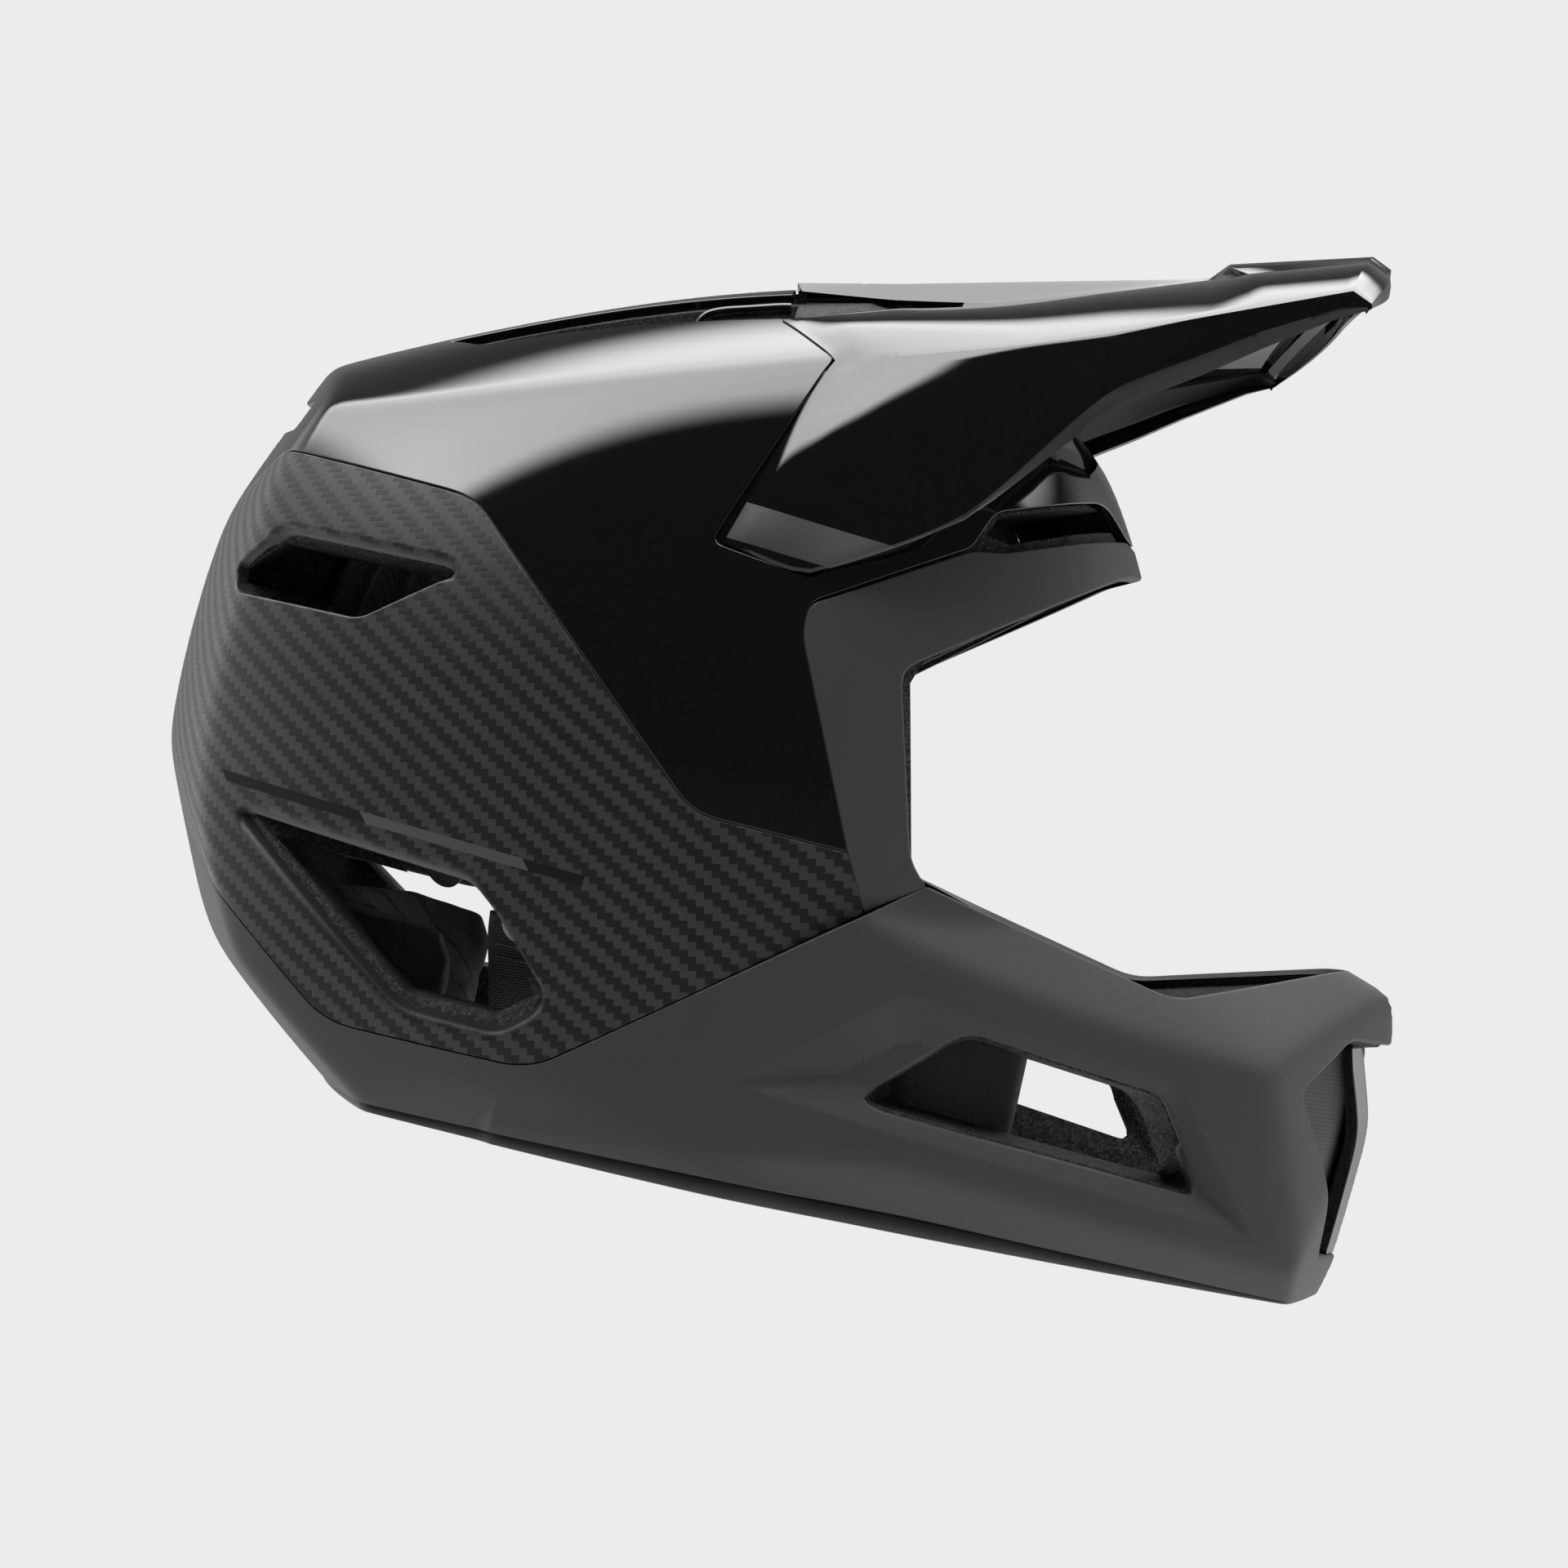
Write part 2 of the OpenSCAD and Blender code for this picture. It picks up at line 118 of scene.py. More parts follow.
def s_head(P):
    Q = fold(P)
    S = [np.sqrt(((Q - c) ** 2).sum(1)) - R for c, R in HS]
    q = Q - EC
    a = np.broadcast_to(EA, q.shape).copy()
    a[:, 2] = np.where(q[:, 2] < 0, EL, EA[2])
    u = q / a
    k = np.sqrt((u * u).sum(1))
    S.append(k * (k - 1) / np.maximum(np.sqrt(((u / a) ** 2).sum(1)), 1e-6))
    return soft_max(S)


def s_chin(P):
    Q = fold(P)
    return soft_max([np.sqrt(((Q - c) ** 2).sum(1)) - R for c, R in KS])


def s_chin_open(P):
    """the chin form without its back wall: it sinks gently under the head form instead"""
    Q = fold(P)
    s = soft_max([np.sqrt(((Q - c) ** 2).sum(1)) - R for i, (c, R) in enumerate(KS) if i != 2])
    t = np.maximum(22 - Q[:, 0], 0) / 70
    return s + 5.0 * t * t + 1.2 * np.maximum(-62 - Q[:, 0], 0)


def smin(a, b, k):
    h = np.clip(0.5 + 0.5 * (b - a) / k, 0, 1)
    return b * (1 - h) + a * h - k * h * (1 - h)


def sstep(x, a, b):
    t = np.clip((x - a) / (b - a), 0, 1)
    return t * t * (3 - 2 * t)


def line_d(P, a, b):
    """signed distance in x and z to the line a-b, positive on its right side looking from the wearer's right"""
    d = arr(b[0] - a[0], b[1] - a[1])
    d /= np.hypot(*d)
    return (P[:, 0] - a[0]) * d[1] - (P[:, 2] - a[1]) * d[0]


DISH = [((-4, 31), (38, 65), 0.42), ((38, 65), (119, 55), 0.42), ((119, 55), (149, 18), 0.72), ((149, 18), (-4, 31), 0.5)]


def dish(P):
    d = None
    for a, b, s in DISH:
        v = line_d(P, a, b) * s
        d = v if d is None else smin(d, v, 1.6)
    d = (d + np.sqrt(d * d + 0.12)) / 2
    return np.minimum(d, 5.0) * (d > 0.012) * sstep(np.abs(P[:, 1]), 25, 40)


def s_low(P):
    return smin(s_head(P), s_chin_open(P), 4.0) + dish(P)


def s_chin_dished(P):
    return s_chin(P) + dish(P)


def shifted(form, d):
    return lambda P: form(P) + d


def normal(form, P):
    e = 0.05
    g = np.stack([form(P + e * np.eye(3)[i]) - form(P - e * np.eye(3)[i]) for i in range(3)], 1)
    return g / np.maximum(np.linalg.norm(g, axis=1, keepdims=True), 1e-9)


def shoot(form, c, dirs, t0=60.0):
    """the outermost crossing of the form along rays from c: bracketed, then bisected"""
    lo = np.zeros(len(dirs))
    hi = np.full(len(dirs), 260.0)
    for _ in range(34):
        m = (lo + hi) / 2
        inside = form(c + dirs * m[:, None]) < 0
        lo = np.where(inside, m, lo)
        hi = np.where(inside, hi, m)
    return c + dirs * ((lo + hi) / 2)[:, None]


def lift(form, A, axis, sign, top=300.0, base=0.0):
    """points of the form above the given 2D points: axis 1 lifts (x, z) along y, 0 lifts (y, z) along x, 2 lifts (x, y) along z"""
    A = np.asarray(A, float)
    lo = np.full(len(A), base)
    hi = np.full(len(A), top)

    def at(t):
        P = np.empty((len(A), 3))
        o = [i for i in range(3) if i != axis]
        P[:, o[0]], P[:, o[1]] = A[:, 0], A[:, 1]
        P[:, axis] = t * sign
        return P
    for _ in range(36):
        m = (lo + hi) / 2
        inside = form(at(m)) < 0
        lo = np.where(inside, m, lo)
        hi = np.where(inside, hi, m)
    return at((lo + hi) / 2)


# ------------------------------------------------------------------
# Outlines
# ------------------------------------------------------------------
def fillet(pts, closed):
    """pts are (a, b, r): each corner is replaced by a small curve that starts r before it"""
    n = len(pts)
    out = []
    for i, p in enumerate(pts):
        a = arr(p[0], p[1])
        r = p[2] if len(p) > 2 else 1.2
        if (not closed and i in (0, n - 1)) or r <= 0:
            out.append(a)
            continue
        b = arr(*pts[i - 1][:2])
        c = arr(*pts[(i + 1) % n][:2])
        lb, lc = np.hypot(*(b - a)), np.hypot(*(c - a))
        rb, rc = min(r, lb * 0.48), min(r, lc * 0.48)
        p0, p1 = a + (b - a) / lb * rb, a + (c - a) / lc * rc
        for k in range(9):
            t = k / 8
            out.append((1 - t) ** 2 * p0 + 2 * t * (1 - t) * a + t * t * p1)
    return np.array(out)


def along(path, closed, n=5000, warp=False):
    if closed:
        path = np.vstack([path, path[:1]])
    L = np.concatenate([[0], np.cumsum(np.hypot(*(np.diff(path, axis=0)).T))])
    t = np.linspace(0, 1, n)
    if warp:
        t = (1 - np.cos(np.pi * t)) / 2
    s = t * L[-1]
    return np.stack([np.interp(s, L, path[:, 0]), np.interp(s, L, path[:, 1])], 1)


def resample3(P, h, closed=True):
    if closed:
        P = np.vstack([P, P[:1]])
    L = np.concatenate([[0], np.cumsum(np.linalg.norm(np.diff(P, axis=0), axis=1))])
    n = max(8, int(round(L[-1] / h)))
    s = np.linspace(0, L[-1], n + 1)
    Q = np.stack([np.interp(s, L, P[:, i]) for i in range(3)], 1)
    return Q[:-1] if closed else Q


def side_loop(form, pts, h=1.5):
    """a closed outline on the right side"""
    A = along(fillet(pts, True), True)[:-1]
    return resample3(lift(form, A, 1, -1, 140), h)


def end_on_silhouette(form, path):
    """cuts an open path to where the form's middle plane is"""
    A = along(path, False, 4000)
    s = form(np.stack([A[:, 0], 0 * A[:, 0], A[:, 1]], 1))
    inside = np.where(s < 0)[0]
    i0, i1 = inside[0], inside[-1]

    def root(a, b):
        for _ in range(40):
            m = (a + b) / 2
            if form(np.array([[m[0], 0, m[1]]]))[0] < 0:
                b = m
            else:
                a = m
        return (a + b) / 2
    mid = A[i0:i1 + 1]
    if i0 > 0:
        mid = np.vstack([root(A[i0 - 1], A[i0]), mid])
    if i1 < len(A) - 1:
        mid = np.vstack([mid, root(A[i1 + 1], A[i1])])
    return mid


def wrap_loop(form, pts, h=1.5):
    """an open outline whose ends lie on the middle plane, closed by its mirror image"""
    path = end_on_silhouette(form, fillet(pts, False))
    A = along(path, False, 7000, warp=True)
    P = lift(form, A, 1, -1, 140)
    P[0, 1] = P[-1, 1] = 0
    M = P[1:-1][::-1] * arr(1, -1, 1)
    return resample3(np.vstack([P, M]), h)


def mirror(P):
    return P * arr(1, -1, 1)


# ------------------------------------------------------------------
# Panels: a piece of a form with rounded edges and a thickness
# ------------------------------------------------------------------
_ico = {}


def ico(level):
    if level not in _ico:
        bm = bmesh.new()
        bmesh.ops.create_icosphere(bm, subdivisions=level, radius=1)
        V = np.array([v.co[:] for v in bm.verts])
        bm.free()
        # a small turn keeps the points off the axes
        a = 0.37
        Rz = np.array([[math.cos(a), -math.sin(a), 0], [math.sin(a), math.cos(a), 0], [0, 0, 1]])
        _ico[level] = V @ Rz.T
    return _ico[level]


def inside_even_odd(Q, loops):
    r = np.zeros(len(Q), bool)
    for L in loops:
        x1, y1 = L[:, 0], L[:, 1]
        x2, y2 = np.roll(x1, -1), np.roll(y1, -1)
        for a, b, c, d in zip(x1, y1, x2, y2):
            if b == d:
                continue
            m = (b > Q[:, 1]) != (d > Q[:, 1])
            if m.any():
                r[m] ^= Q[m, 0] < a + (Q[m, 1] - b) * (c - a) / (d - b)
    return r


def make_chart(c, away):
    away = np.array(away, float)
    away /= np.linalg.norm(away)
    e1 = np.cross(away, arr(0.3, 0.9, 0.1))
    e1 /= np.linalg.norm(e1)
    e2 = np.cross(away, e1)

    def chart(P):
        d = P - c
        d = d / np.linalg.norm(d, axis=1, keepdims=True)
        k = 1 / np.maximum(1 - d @ away, 1e-4)
        return np.stack([(d @ e1) * k, (d @ e2) * k], 1)
    return chart


def panel_data(form, loops, c, away, thick, radius, inset=0.15, level=7, seg=4, inner=None, refine=7.0, extra=None):
    """verts, faces, normals of a panel. radius is a number or a function of the edge points.
    inner is None for an even thickness, or a function from outer points to inner points."""
    chart = make_chart(c, away)
    raw = [chart(L) for L in loops]
    rings = []
    for li, L in enumerate(loops):
        n = normal(form, L)
        t = np.roll(L, -1, 0) - np.roll(L, 1, 0)
        t /= np.linalg.norm(t, axis=1, keepdims=True)
        b = np.cross(n, t)
        b /= np.linalg.norm(b, axis=1, keepdims=True)
        probe = inside_even_odd(chart(L + b * 0.6), raw).mean()
        if probe < 0.5:
            b = -b
        r = radius[li] if isinstance(radius, (list, tuple)) else radius
        r = r(L) if callable(r) else np.full(len(L), float(r))
        rr = []
        for k in range(seg + 1):
            f = math.pi / 2 * k / seg
            P = L + b * (inset + r * (1 - math.cos(f)))[:, None]
            # back onto the form, then down by the rounding
            for _ in range(2):
                P = P - normal(form, P) * form(P)[:, None]
            nn = normal(form, P)
            P = P - nn * (r * (1 - math.sin(f)))[:, None]
            N = -b * math.cos(f) + nn * math.sin(f)
            rr.append((P, N))
        rings.append((rr, b, n))
    tops = [rr[-1][0] for rr, b, n in rings]
    tn = [rr[-1][1] for rr, b, n in rings]
    loops2 = [chart(T) for T in tops]
    allb = np.vstack(tops)
    dirs = ico(level)
    dirs = dirs[dirs @ (arr(*away) / np.linalg.norm(away)) < 0.97]
    # keep the directions near the panel only
    lo, hi = np.vstack(loops2).min(0), np.vstack(loops2).max(0)
    q = chart(c + dirs)
    m = ((q >= lo) & (q <= hi)).all(1)
    dirs, q = dirs[m], q[m]
    m = inside_even_odd(q, loops2)
    P = shoot(form, c, dirs[m])
    kd = kdtree.KDTree(len(allb))
    for i, p in enumerate(allb):
        kd.insert(p, i)
    kd.balance()
    near = np.array([kd.find(p)[2] for p in P])
    P = P[near > 1.0]
    if extra is not None:
        X = extra
        X = X[inside_even_odd(chart(X), loops2)]
        X = X[np.array([kd.find(p)[2] for p in X]) > 0.7]
        keep, kx = [], {}
        for i, p in enumerate(X):
            g = tuple(np.floor(p / 0.55).astype(int))
            if not any((g[0] + a, g[1] + b2, g[2] + c2) in kx for a in (-1, 0, 1) for b2 in (-1, 0, 1) for c2 in (-1, 0, 1)):
                kx[g] = 1
                keep.append(i)
        X = X[keep]
        k2 = kdtree.KDTree(len(X))
        for i, p in enumerate(X):
            k2.insert(p, i)
        k2.balance()
        P = np.vstack([P[np.array([k2.find(p)[2] for p in P]) > 0.9], X])

    def triangulate(P):
        pts = np.vstack([allb, P])
        Q = np.vstack(loops2 + [chart(P)])
        edges = []
        o = 0
        for T in tops:
            k = len(T)
            edges += [(o + i, o + (i + 1) % k) for i in range(k)]
            o += k
        v, e, f, ov, oe, of = geometry.delaunay_2d_cdt([Vector(p) for p in Q * 100], edges, [], 0, 1e-7)
        ids = [o_[0] if len(o_) else -1 for o_ in ov]
        F = [(ids[a], ids[b], ids[c_]) for a, b, c_ in f]
        F = np.array([t for t in F if min(t) >= 0])
        cen = Q[F].mean(1)
        F = F[inside_even_odd(cen, loops2)]
        return pts, F
    pts, F = triangulate(P)
    if refine:
        N = normal(form, pts)
        E = np.vstack([F[:, [0, 1]], F[:, [1, 2]], F[:, [2, 0]]])
        E.sort(1)
        E = np.unique(E, axis=0)
        ang = np.degrees(np.arccos(np.clip((N[E[:, 0]] * N[E[:, 1]]).sum(1), -1, 1)))
        ln = np.linalg.norm(pts[E[:, 0]] - pts[E[:, 1]], axis=1)
        k = (ang > refine) & (ln > 1.1) & (E.min(1) >= len(allb))
        if k.any():
            M = (pts[E[k, 0]] + pts[E[k, 1]]) / 2
            d = M - c
            M = shoot(form, c, d / np.linalg.norm(d, axis=1, keepdims=True))
            P = np.vstack([P, M])
            pts, F = triangulate(P)
    nb = len(allb)
    N = normal(form, pts)
    N[:nb] = np.vstack(tn)
    # outward orientation
    g = np.cross(pts[F[:, 1]] - pts[F[:, 0]], pts[F[:, 2]] - pts[F[:, 0]])
    flip = (g * N[F].mean(1)).sum(1) < 0
    F[flip] = F[flip][:, ::-1]
    V, NN, faces = [pts], [N], [tuple(t) for t in F.tolist()]
    base = len(pts)
    # rounded edge rings, from the panel outwards
    o = 0
    bottoms = []
    for rr, b, n in rings:
        k = len(rr[0][0])
        prev = np.arange(o, o + k)
        for j in range(seg - 1, -1, -1):
            V.append(rr[j][0])
            NN.append(rr[j][1])
            cur = np.arange(base, base + k)
            base += k
            bottoms_pair = (prev, cur)
            faces += [("q", prev, cur)]
            prev = cur
        bottoms.append(prev)
        o += k
    # inner skin
    if inner is None:
        IP = pts - normal(form, pts) * thick
    else:
        IP = inner(pts)
    ib = base
    V.append(IP)
    NN.append(-normal(form, pts))
    base += len(IP)
    inF = F[:, ::-1] + ib
    faces += [tuple(t) for t in inF.tolist()]
    o = 0
    for (rr, b, n), bot in zip(rings, bottoms):
        k = len(bot)
        Lw = rr[0][0]
        if inner is None:
            W = Lw - n * (thick - 0.2)
        else:
            W = inner(Lw)
        nw = 1 if inner is None else 6
        prev = bot
        for j in range(1, nw + 1):
            V.append(Lw + (W - Lw) * (j / nw) if j < nw or inner is not None else W)
            NN.append(-b)
            cur = np.arange(base, base + k)
            base += k
            faces += [("q", prev, cur)]
            prev = cur
        faces += [("q", prev, np.arange(ib + o, ib + o + k))]
        o += k
    V, NN = np.vstack(V), np.vstack(NN)
    out = []
    for f in faces:
        if f[0] == "q" if isinstance(f[0], str) else False:
            a, b2 = f[1], f[2]
            k = len(a)
            i = np.arange(k)
            j = (i + 1) % k
            q4 = np.stack([a[i], a[j], b2[j], b2[i]], 1)
            g = np.cross(V[q4[:, 1]] - V[q4[:, 0]], V[q4[:, 3]] - V[q4[:, 0]])
            if (g * NN[q4[:, 0]]).sum() < 0 if np.abs((g * NN[q4[:, 0]]).sum()) > 1e-9 else False:
                q4 = q4[:, ::-1]
            out += [tuple(t) for t in q4.tolist()]
        else:
            out.append(f)
    return V, out, NN


def mesh_object(name, V, faces, N=None, smooth=True):
    me = bpy.data.meshes.new(name)
    me.from_pydata((np.asarray(V) * MM).tolist(), [], faces)
    me.validate()
    if smooth:
        me.polygons.foreach_set("use_smooth", [True] * len(me.polygons))
    ob = bpy.data.objects.new(name, me)
    SC.collection.objects.link(ob)
    me.update()
    if N is not None and len(N) == len(me.vertices):
        N = N / np.maximum(np.linalg.norm(N, axis=1, keepdims=True), 1e-9)
        me.normals_split_custom_set_from_vertices(N.tolist())
    return ob


# ---------- outlines (x, z, fillet) on the right side ----------
SEAM_REAR = [(-215, 123, 0), (-164, 172, 5), (-109, 169, 5), (-103, 167, 5), (-28, 99, 7)]
CROWN_EDGE = SEAM_REAR + [(15, 98, 0.8), (-10, 152, 4), (-10, 161, 4), (-5, 164, 5), (29.5, 186, 2), (34, 197.5, 3),
                          (66, 211, 4), (75.5, 203.6, 1.5), (90, 199.5, 0)]
REAR_EDGE = SEAM_REAR + [(15, 98, 0.8), (23, 83, 1.2), (-55, 23, 8), (-112, 22, 8), (-176, 66, 5), (-215, 70, 0)]
BROW_EDGE = [(90, 198.8, 0), (75.2, 202.9, 1.2), (39, 187.4, 2), (29.5, 185.4, 2), (-5, 163.4, 5), (-10.4, 160.5, 4), (-10.4, 152, 4), (14.6, 98, 0.8),
             (22.6, 83, 0.8), (38, 93.6, 1.2), (32, 100, 4), (19, 146, 3), (19.5, 150, 4), (77, 191.5, 2), (100, 200, 0)]
LOW_TOP = [(-215, 70, 0), (-176, 66, 5), (-112, 22, 8), (-55, 23, 8), (23, 83, 1.2), (38, 94, 1.2), (113, 78.5, 6), (165, 96.2, 4), (200, 96.2, 0)]
LOW_BOTTOM = [(-150, 1.4, 0), (-110, 1.6, 6), (-75, 2.4, 8), (-6, 4.3, 10), (56, 4.8, 10), (120, 2.5, 8), (165, 0.6, 6), (215, 0.5, 0)]
SIDE_VENT = [(-156, 149, 2.5), (-107, 149, 2), (-105, 147, 2), (-128, 130, 3), (-167, 130, 3), (-168, 138, 3)]
LOW_VENT = [(-149, 71.5, 3), (-81, 67.5, 4), (-74.5, 63, 4), (-54, 42, 5), (-66, 31.5, 4), (-93, 32, 5)]
CHIN_VENT = [(33.5, 35, 2), (57.5, 57.2, 5), (115, 51.4, 4), (131, 26.8, 3), (38.5, 33.4, 2)]
CHANNEL = [(-130, 12, 3), (-118, 34, 6), (-44, 40, 6), (-30, 36, 4), (-30, 11, 3)]
OUTLET = [(-30, 180, 3), (-30, 189, 3), (30, 189, 3), (30, 180, 3)]
NOSE = [(-45, 60, 4), (-20, 77, 4), (20, 77, 4), (45, 60, 4), (26, 14, 5), (-26, 14, 5)]


def top_loop(form, pts, h=1.4):
    A = along(fillet(pts, True), True)[:-1]
    return resample3(lift(form, A, 2, 1, 300, 120), h)


def back_loop(form, pts, h=1.4):
    A = along(fillet(pts, True), True)[:-1]
    return resample3(lift(form, A, 0, -1, 215, 40), h)


def front_loop(form, pts, h=1.4):
    A = along(fillet(pts, True), True)[:-1]
    return resample3(lift(form, A, 0, 1, 215, 100), h)


PIECES = {}


def panel(name, node, slot, *a, body="helmet", **k):
    V, F, N = panel_data(*a, **k)
    ob = mesh_object(name, V, F, N)
    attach(ob, body)
    if node:
        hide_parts(node)
    PIECES[name] = ob
    return ob


def pair(L):
    return [L, mirror(L)[::-1]]


# the visor lies in a shallow recess of the crown. Its outline runs along the visor's rear edge, then under the visor
SEAT = [(-31, 300, 0), (-36.4, 240, 3), (-18.6, 229.6, 1), (-39.2, 170.8, 3), (-11.6, 167.4, 2), (3, 181, 6), (24, 215, 8), (24, 300, 0)]


def seat_loop(form, detour):
    """up the right side from the rear end of the middle rib, and its mirror image: one closed loop over the top. The detour, in x and y, takes in the channel"""
    path = end_on_silhouette(form, fillet(SEAT, False))
    A = along(path, False, 7000, warp=True)
    P = lift(form, A, 1, -1, 140)
    P[0, 1] = P[-1, 1] = 0
    D = lift(form, along(fillet([(x, -y, r) for x, y, r in detour], False), False), 2, 1)
    a = int(np.argmax(np.abs(P[:, 1]) > detour[0][1]))
    b = int(np.argmax(np.abs(P[:, 1]) > detour[-1][1]))
    P = np.vstack([P[:a], D, P[b:]])
    return resample3(np.vstack([P, mirror(P[1:-1][::-1])]), 1.3)


THROUGH = [(-31, 11.3, 0), (-130, 12, 3), (-118, 34, 6), (-46, 40.5, 8), (-37, 41, 0)]
UNDER = [(-31, 7.8, 0), (20, 8.2, 2), (18, 23, 3), (-8, 31, 4), (-37, 40, 0)]
crown_loops = [wrap_loop(s_head, CROWN_EDGE), back_loop(s_head, OUTLET), seat_loop(s_head, THROUGH)]
panel("crown_skin", "crown_shell", "gloss_black", s_head, crown_loops, HC, (0, 0, -1), 2.4, [0.35, 0.8, 0.45], inset=0.16)
seat_form = shifted(s_head, 2.25)
seat = panel("crown_seat", None, "gloss_black", seat_form, [seat_loop(seat_form, UNDER)], HC, (0, 0, -1), 0.35, 0.05, inset=-0.3, seg=1, refine=0)
rear_loops = [wrap_loop(s_head, REAR_EDGE)] + pair(side_loop(s_head, SIDE_VENT)) + pair(side_loop(s_head, LOW_VENT))


def side_roll(P):
    return 0.8 + 2.4 * sstep(P[:, 2], 144, 148.2)


def low_roll(P):
    """wide all round but for the edge that rises towards the front"""
    w = sstep(P[:, 0], -84, -76) * sstep(P[:, 2], 37, 43)
    return 4.2 - 3.2 * w


panel("rear_skin", "rear_shell", "carbon_weave", s_head, rear_loops, HC, (1, 0, 0), 2.4, [0.45, side_roll, side_roll, low_roll, low_roll], inset=0.16, seg=6)
skin = PIECES["rear_skin"].data
co = np.empty(len(skin.vertices) * 3)
skin.vertices.foreach_get("co", co)
co = co.reshape(-1, 3) / MM
deep = np.clip(-s_head(co), 0, 4.2)
down = np.array([max(0.0, -n.vector.z) for n in skin.vertex_normals])
# lip and under feed the painted shade and painted light on the rolled vent edges in the carbon material
for nm, v in (("lip", deep / 4.2), ("under", down)):
    skin.attributes.new(nm, "FLOAT", "POINT").data.foreach_set("value", v.astype(np.float32))


def brow_r(P):
    # the edge towards the eyeport is rounder than the seams
    w = (P[:, 0] > 17.5) & (P[:, 2] > 96) & (P[:, 2] - 133.5 < 0.78 * P[:, 0] + 2.5)
    return np.where(w, 1.0, 0.45)


panel("brow_skin", "brow_trim", "matt_grey", s_head, [wrap_loop(s_head, BROW_EDGE, 1.3)], HC, (-1, 0, 0), 2.4, brow_r, inset=0.16)


def strip_points(form, lines, offs, h=1.1):
    """rows of points beside creases of a form, on both sides of the helmet"""
    out = []
    for (a, b) in lines:
        a, b = arr(*a), arr(*b)
        d = b - a
        n = max(2, int(np.hypot(*d) / h))
        e = arr(-d[1], d[0]) / np.hypot(*d)
        for k, o in enumerate(offs):
            t = (np.arange(n) + (0.5 if k % 2 else 0.0)) / n
            out.append(a + d * t[:, None] + e * o)
    A = np.vstack(out)
    P = lift(form, A, 1, -1, 140)
    return np.vstack([P, mirror(P)])


def rim_r(P):
    return np.where(P[:, 0] > 39, 1.1, 0.45)


low_loops = [wrap_loop(s_low, LOW_TOP), wrap_loop(s_low, LOW_BOTTOM)] + pair(side_loop(s_low, CHIN_VENT)) + [front_loop(s_low, NOSE)]
dish_lines = [(a, b) for a, b, s_ in DISH]
low_extra = strip_points(s_low, dish_lines, [-2.4, -1.5, -0.8, -0.25, 0.3, 0.9, 1.6, 2.5])
panel("lower_skin", "lower_shell", "matt_grey", s_low, low_loops, arr(20, 0, 60), (0, 0, 1), 2.4, [rim_r, 0.8, 1.6, 1.6, 1.2], inset=0.16, seg=4, extra=low_extra)


# ------------------------------------------------------------------
# Foam of the chin bar
# ------------------------------------------------------------------
def chin_inner(P):
    d = P - KC
    d /= np.linalg.norm(d, axis=1, keepdims=True)
    return shoot(shifted(s_chin, 17.7), KC, d)


foam_form = shifted(s_chin_dished, 2.75)


top = along(fillet([(20.8, 8.6, 0), (21.8, 60, 3), (38.5, 91, 3), (113.5, 75.2, 6), (165, 92.6, 3), (200, 92.6, 0)], False), False, 4000)
s0 = foam_form(np.stack([top[:, 0], 0 * top[:, 0], top[:, 1]], 1))
k1 = np.where(s0 < 0)[0][-1]
top = top[:k1 + 1]
bot = along(fillet([(20.8, 8.6, 0), (110, 8.6, 0), (215, 8.6, 0)], False), False, 4000)
s0 = foam_form(np.stack([bot[:, 0], 0 * bot[:, 0], bot[:, 1]], 1))
bot = bot[:np.where(s0 < 0)[0][-1] + 1]


def half(path, n=2600):
    """denser towards its end on the middle plane"""
    L = np.concatenate([[0], np.cumsum(np.hypot(*(np.diff(path, axis=0)).T))])
    t = np.sin(np.linspace(0, 1, n) * math.pi / 2) * L[-1]
    A = np.stack([np.interp(t, L, path[:, 0]), np.interp(t, L, path[:, 1])], 1)
    P = lift(foam_form, A, 1, -1, 140)
    P[-1, 1] = 0
    return P


T3, B3 = half(top), half(bot)
loopf = resample3(np.vstack([B3, mirror(B3)[::-1][1:], mirror(T3)[1:], T3[::-1][1:-1]]), 1.6)
FOAM_VENT = [(34.5, 35.2, 2), (57.8, 56, 5), (114.5, 50.2, 4), (130, 27.6, 3), (39, 34.2, 2)]
FOAM_NOSE = [(-43, 60, 4), (-19, 75.5, 4), (19, 75.5, 4), (43, 60, 4), (25, 15.5, 5), (-25, 15.5, 5)]
panel("chin_liner", "chin_foam", "bead_foam", foam_form, [loopf] + pair(side_loop(foam_form, FOAM_VENT, 1.6)) + [front_loop(foam_form, FOAM_NOSE, 1.6)],
      KC, (-1, 0, 0), 15, [1.2, 1.5, 1.5, 1.5], inset=0.3, inner=chin_inner, refine=0, extra=strip_points(foam_form, dish_lines, [-1.5, -0.5, 0.5, 1.6]))


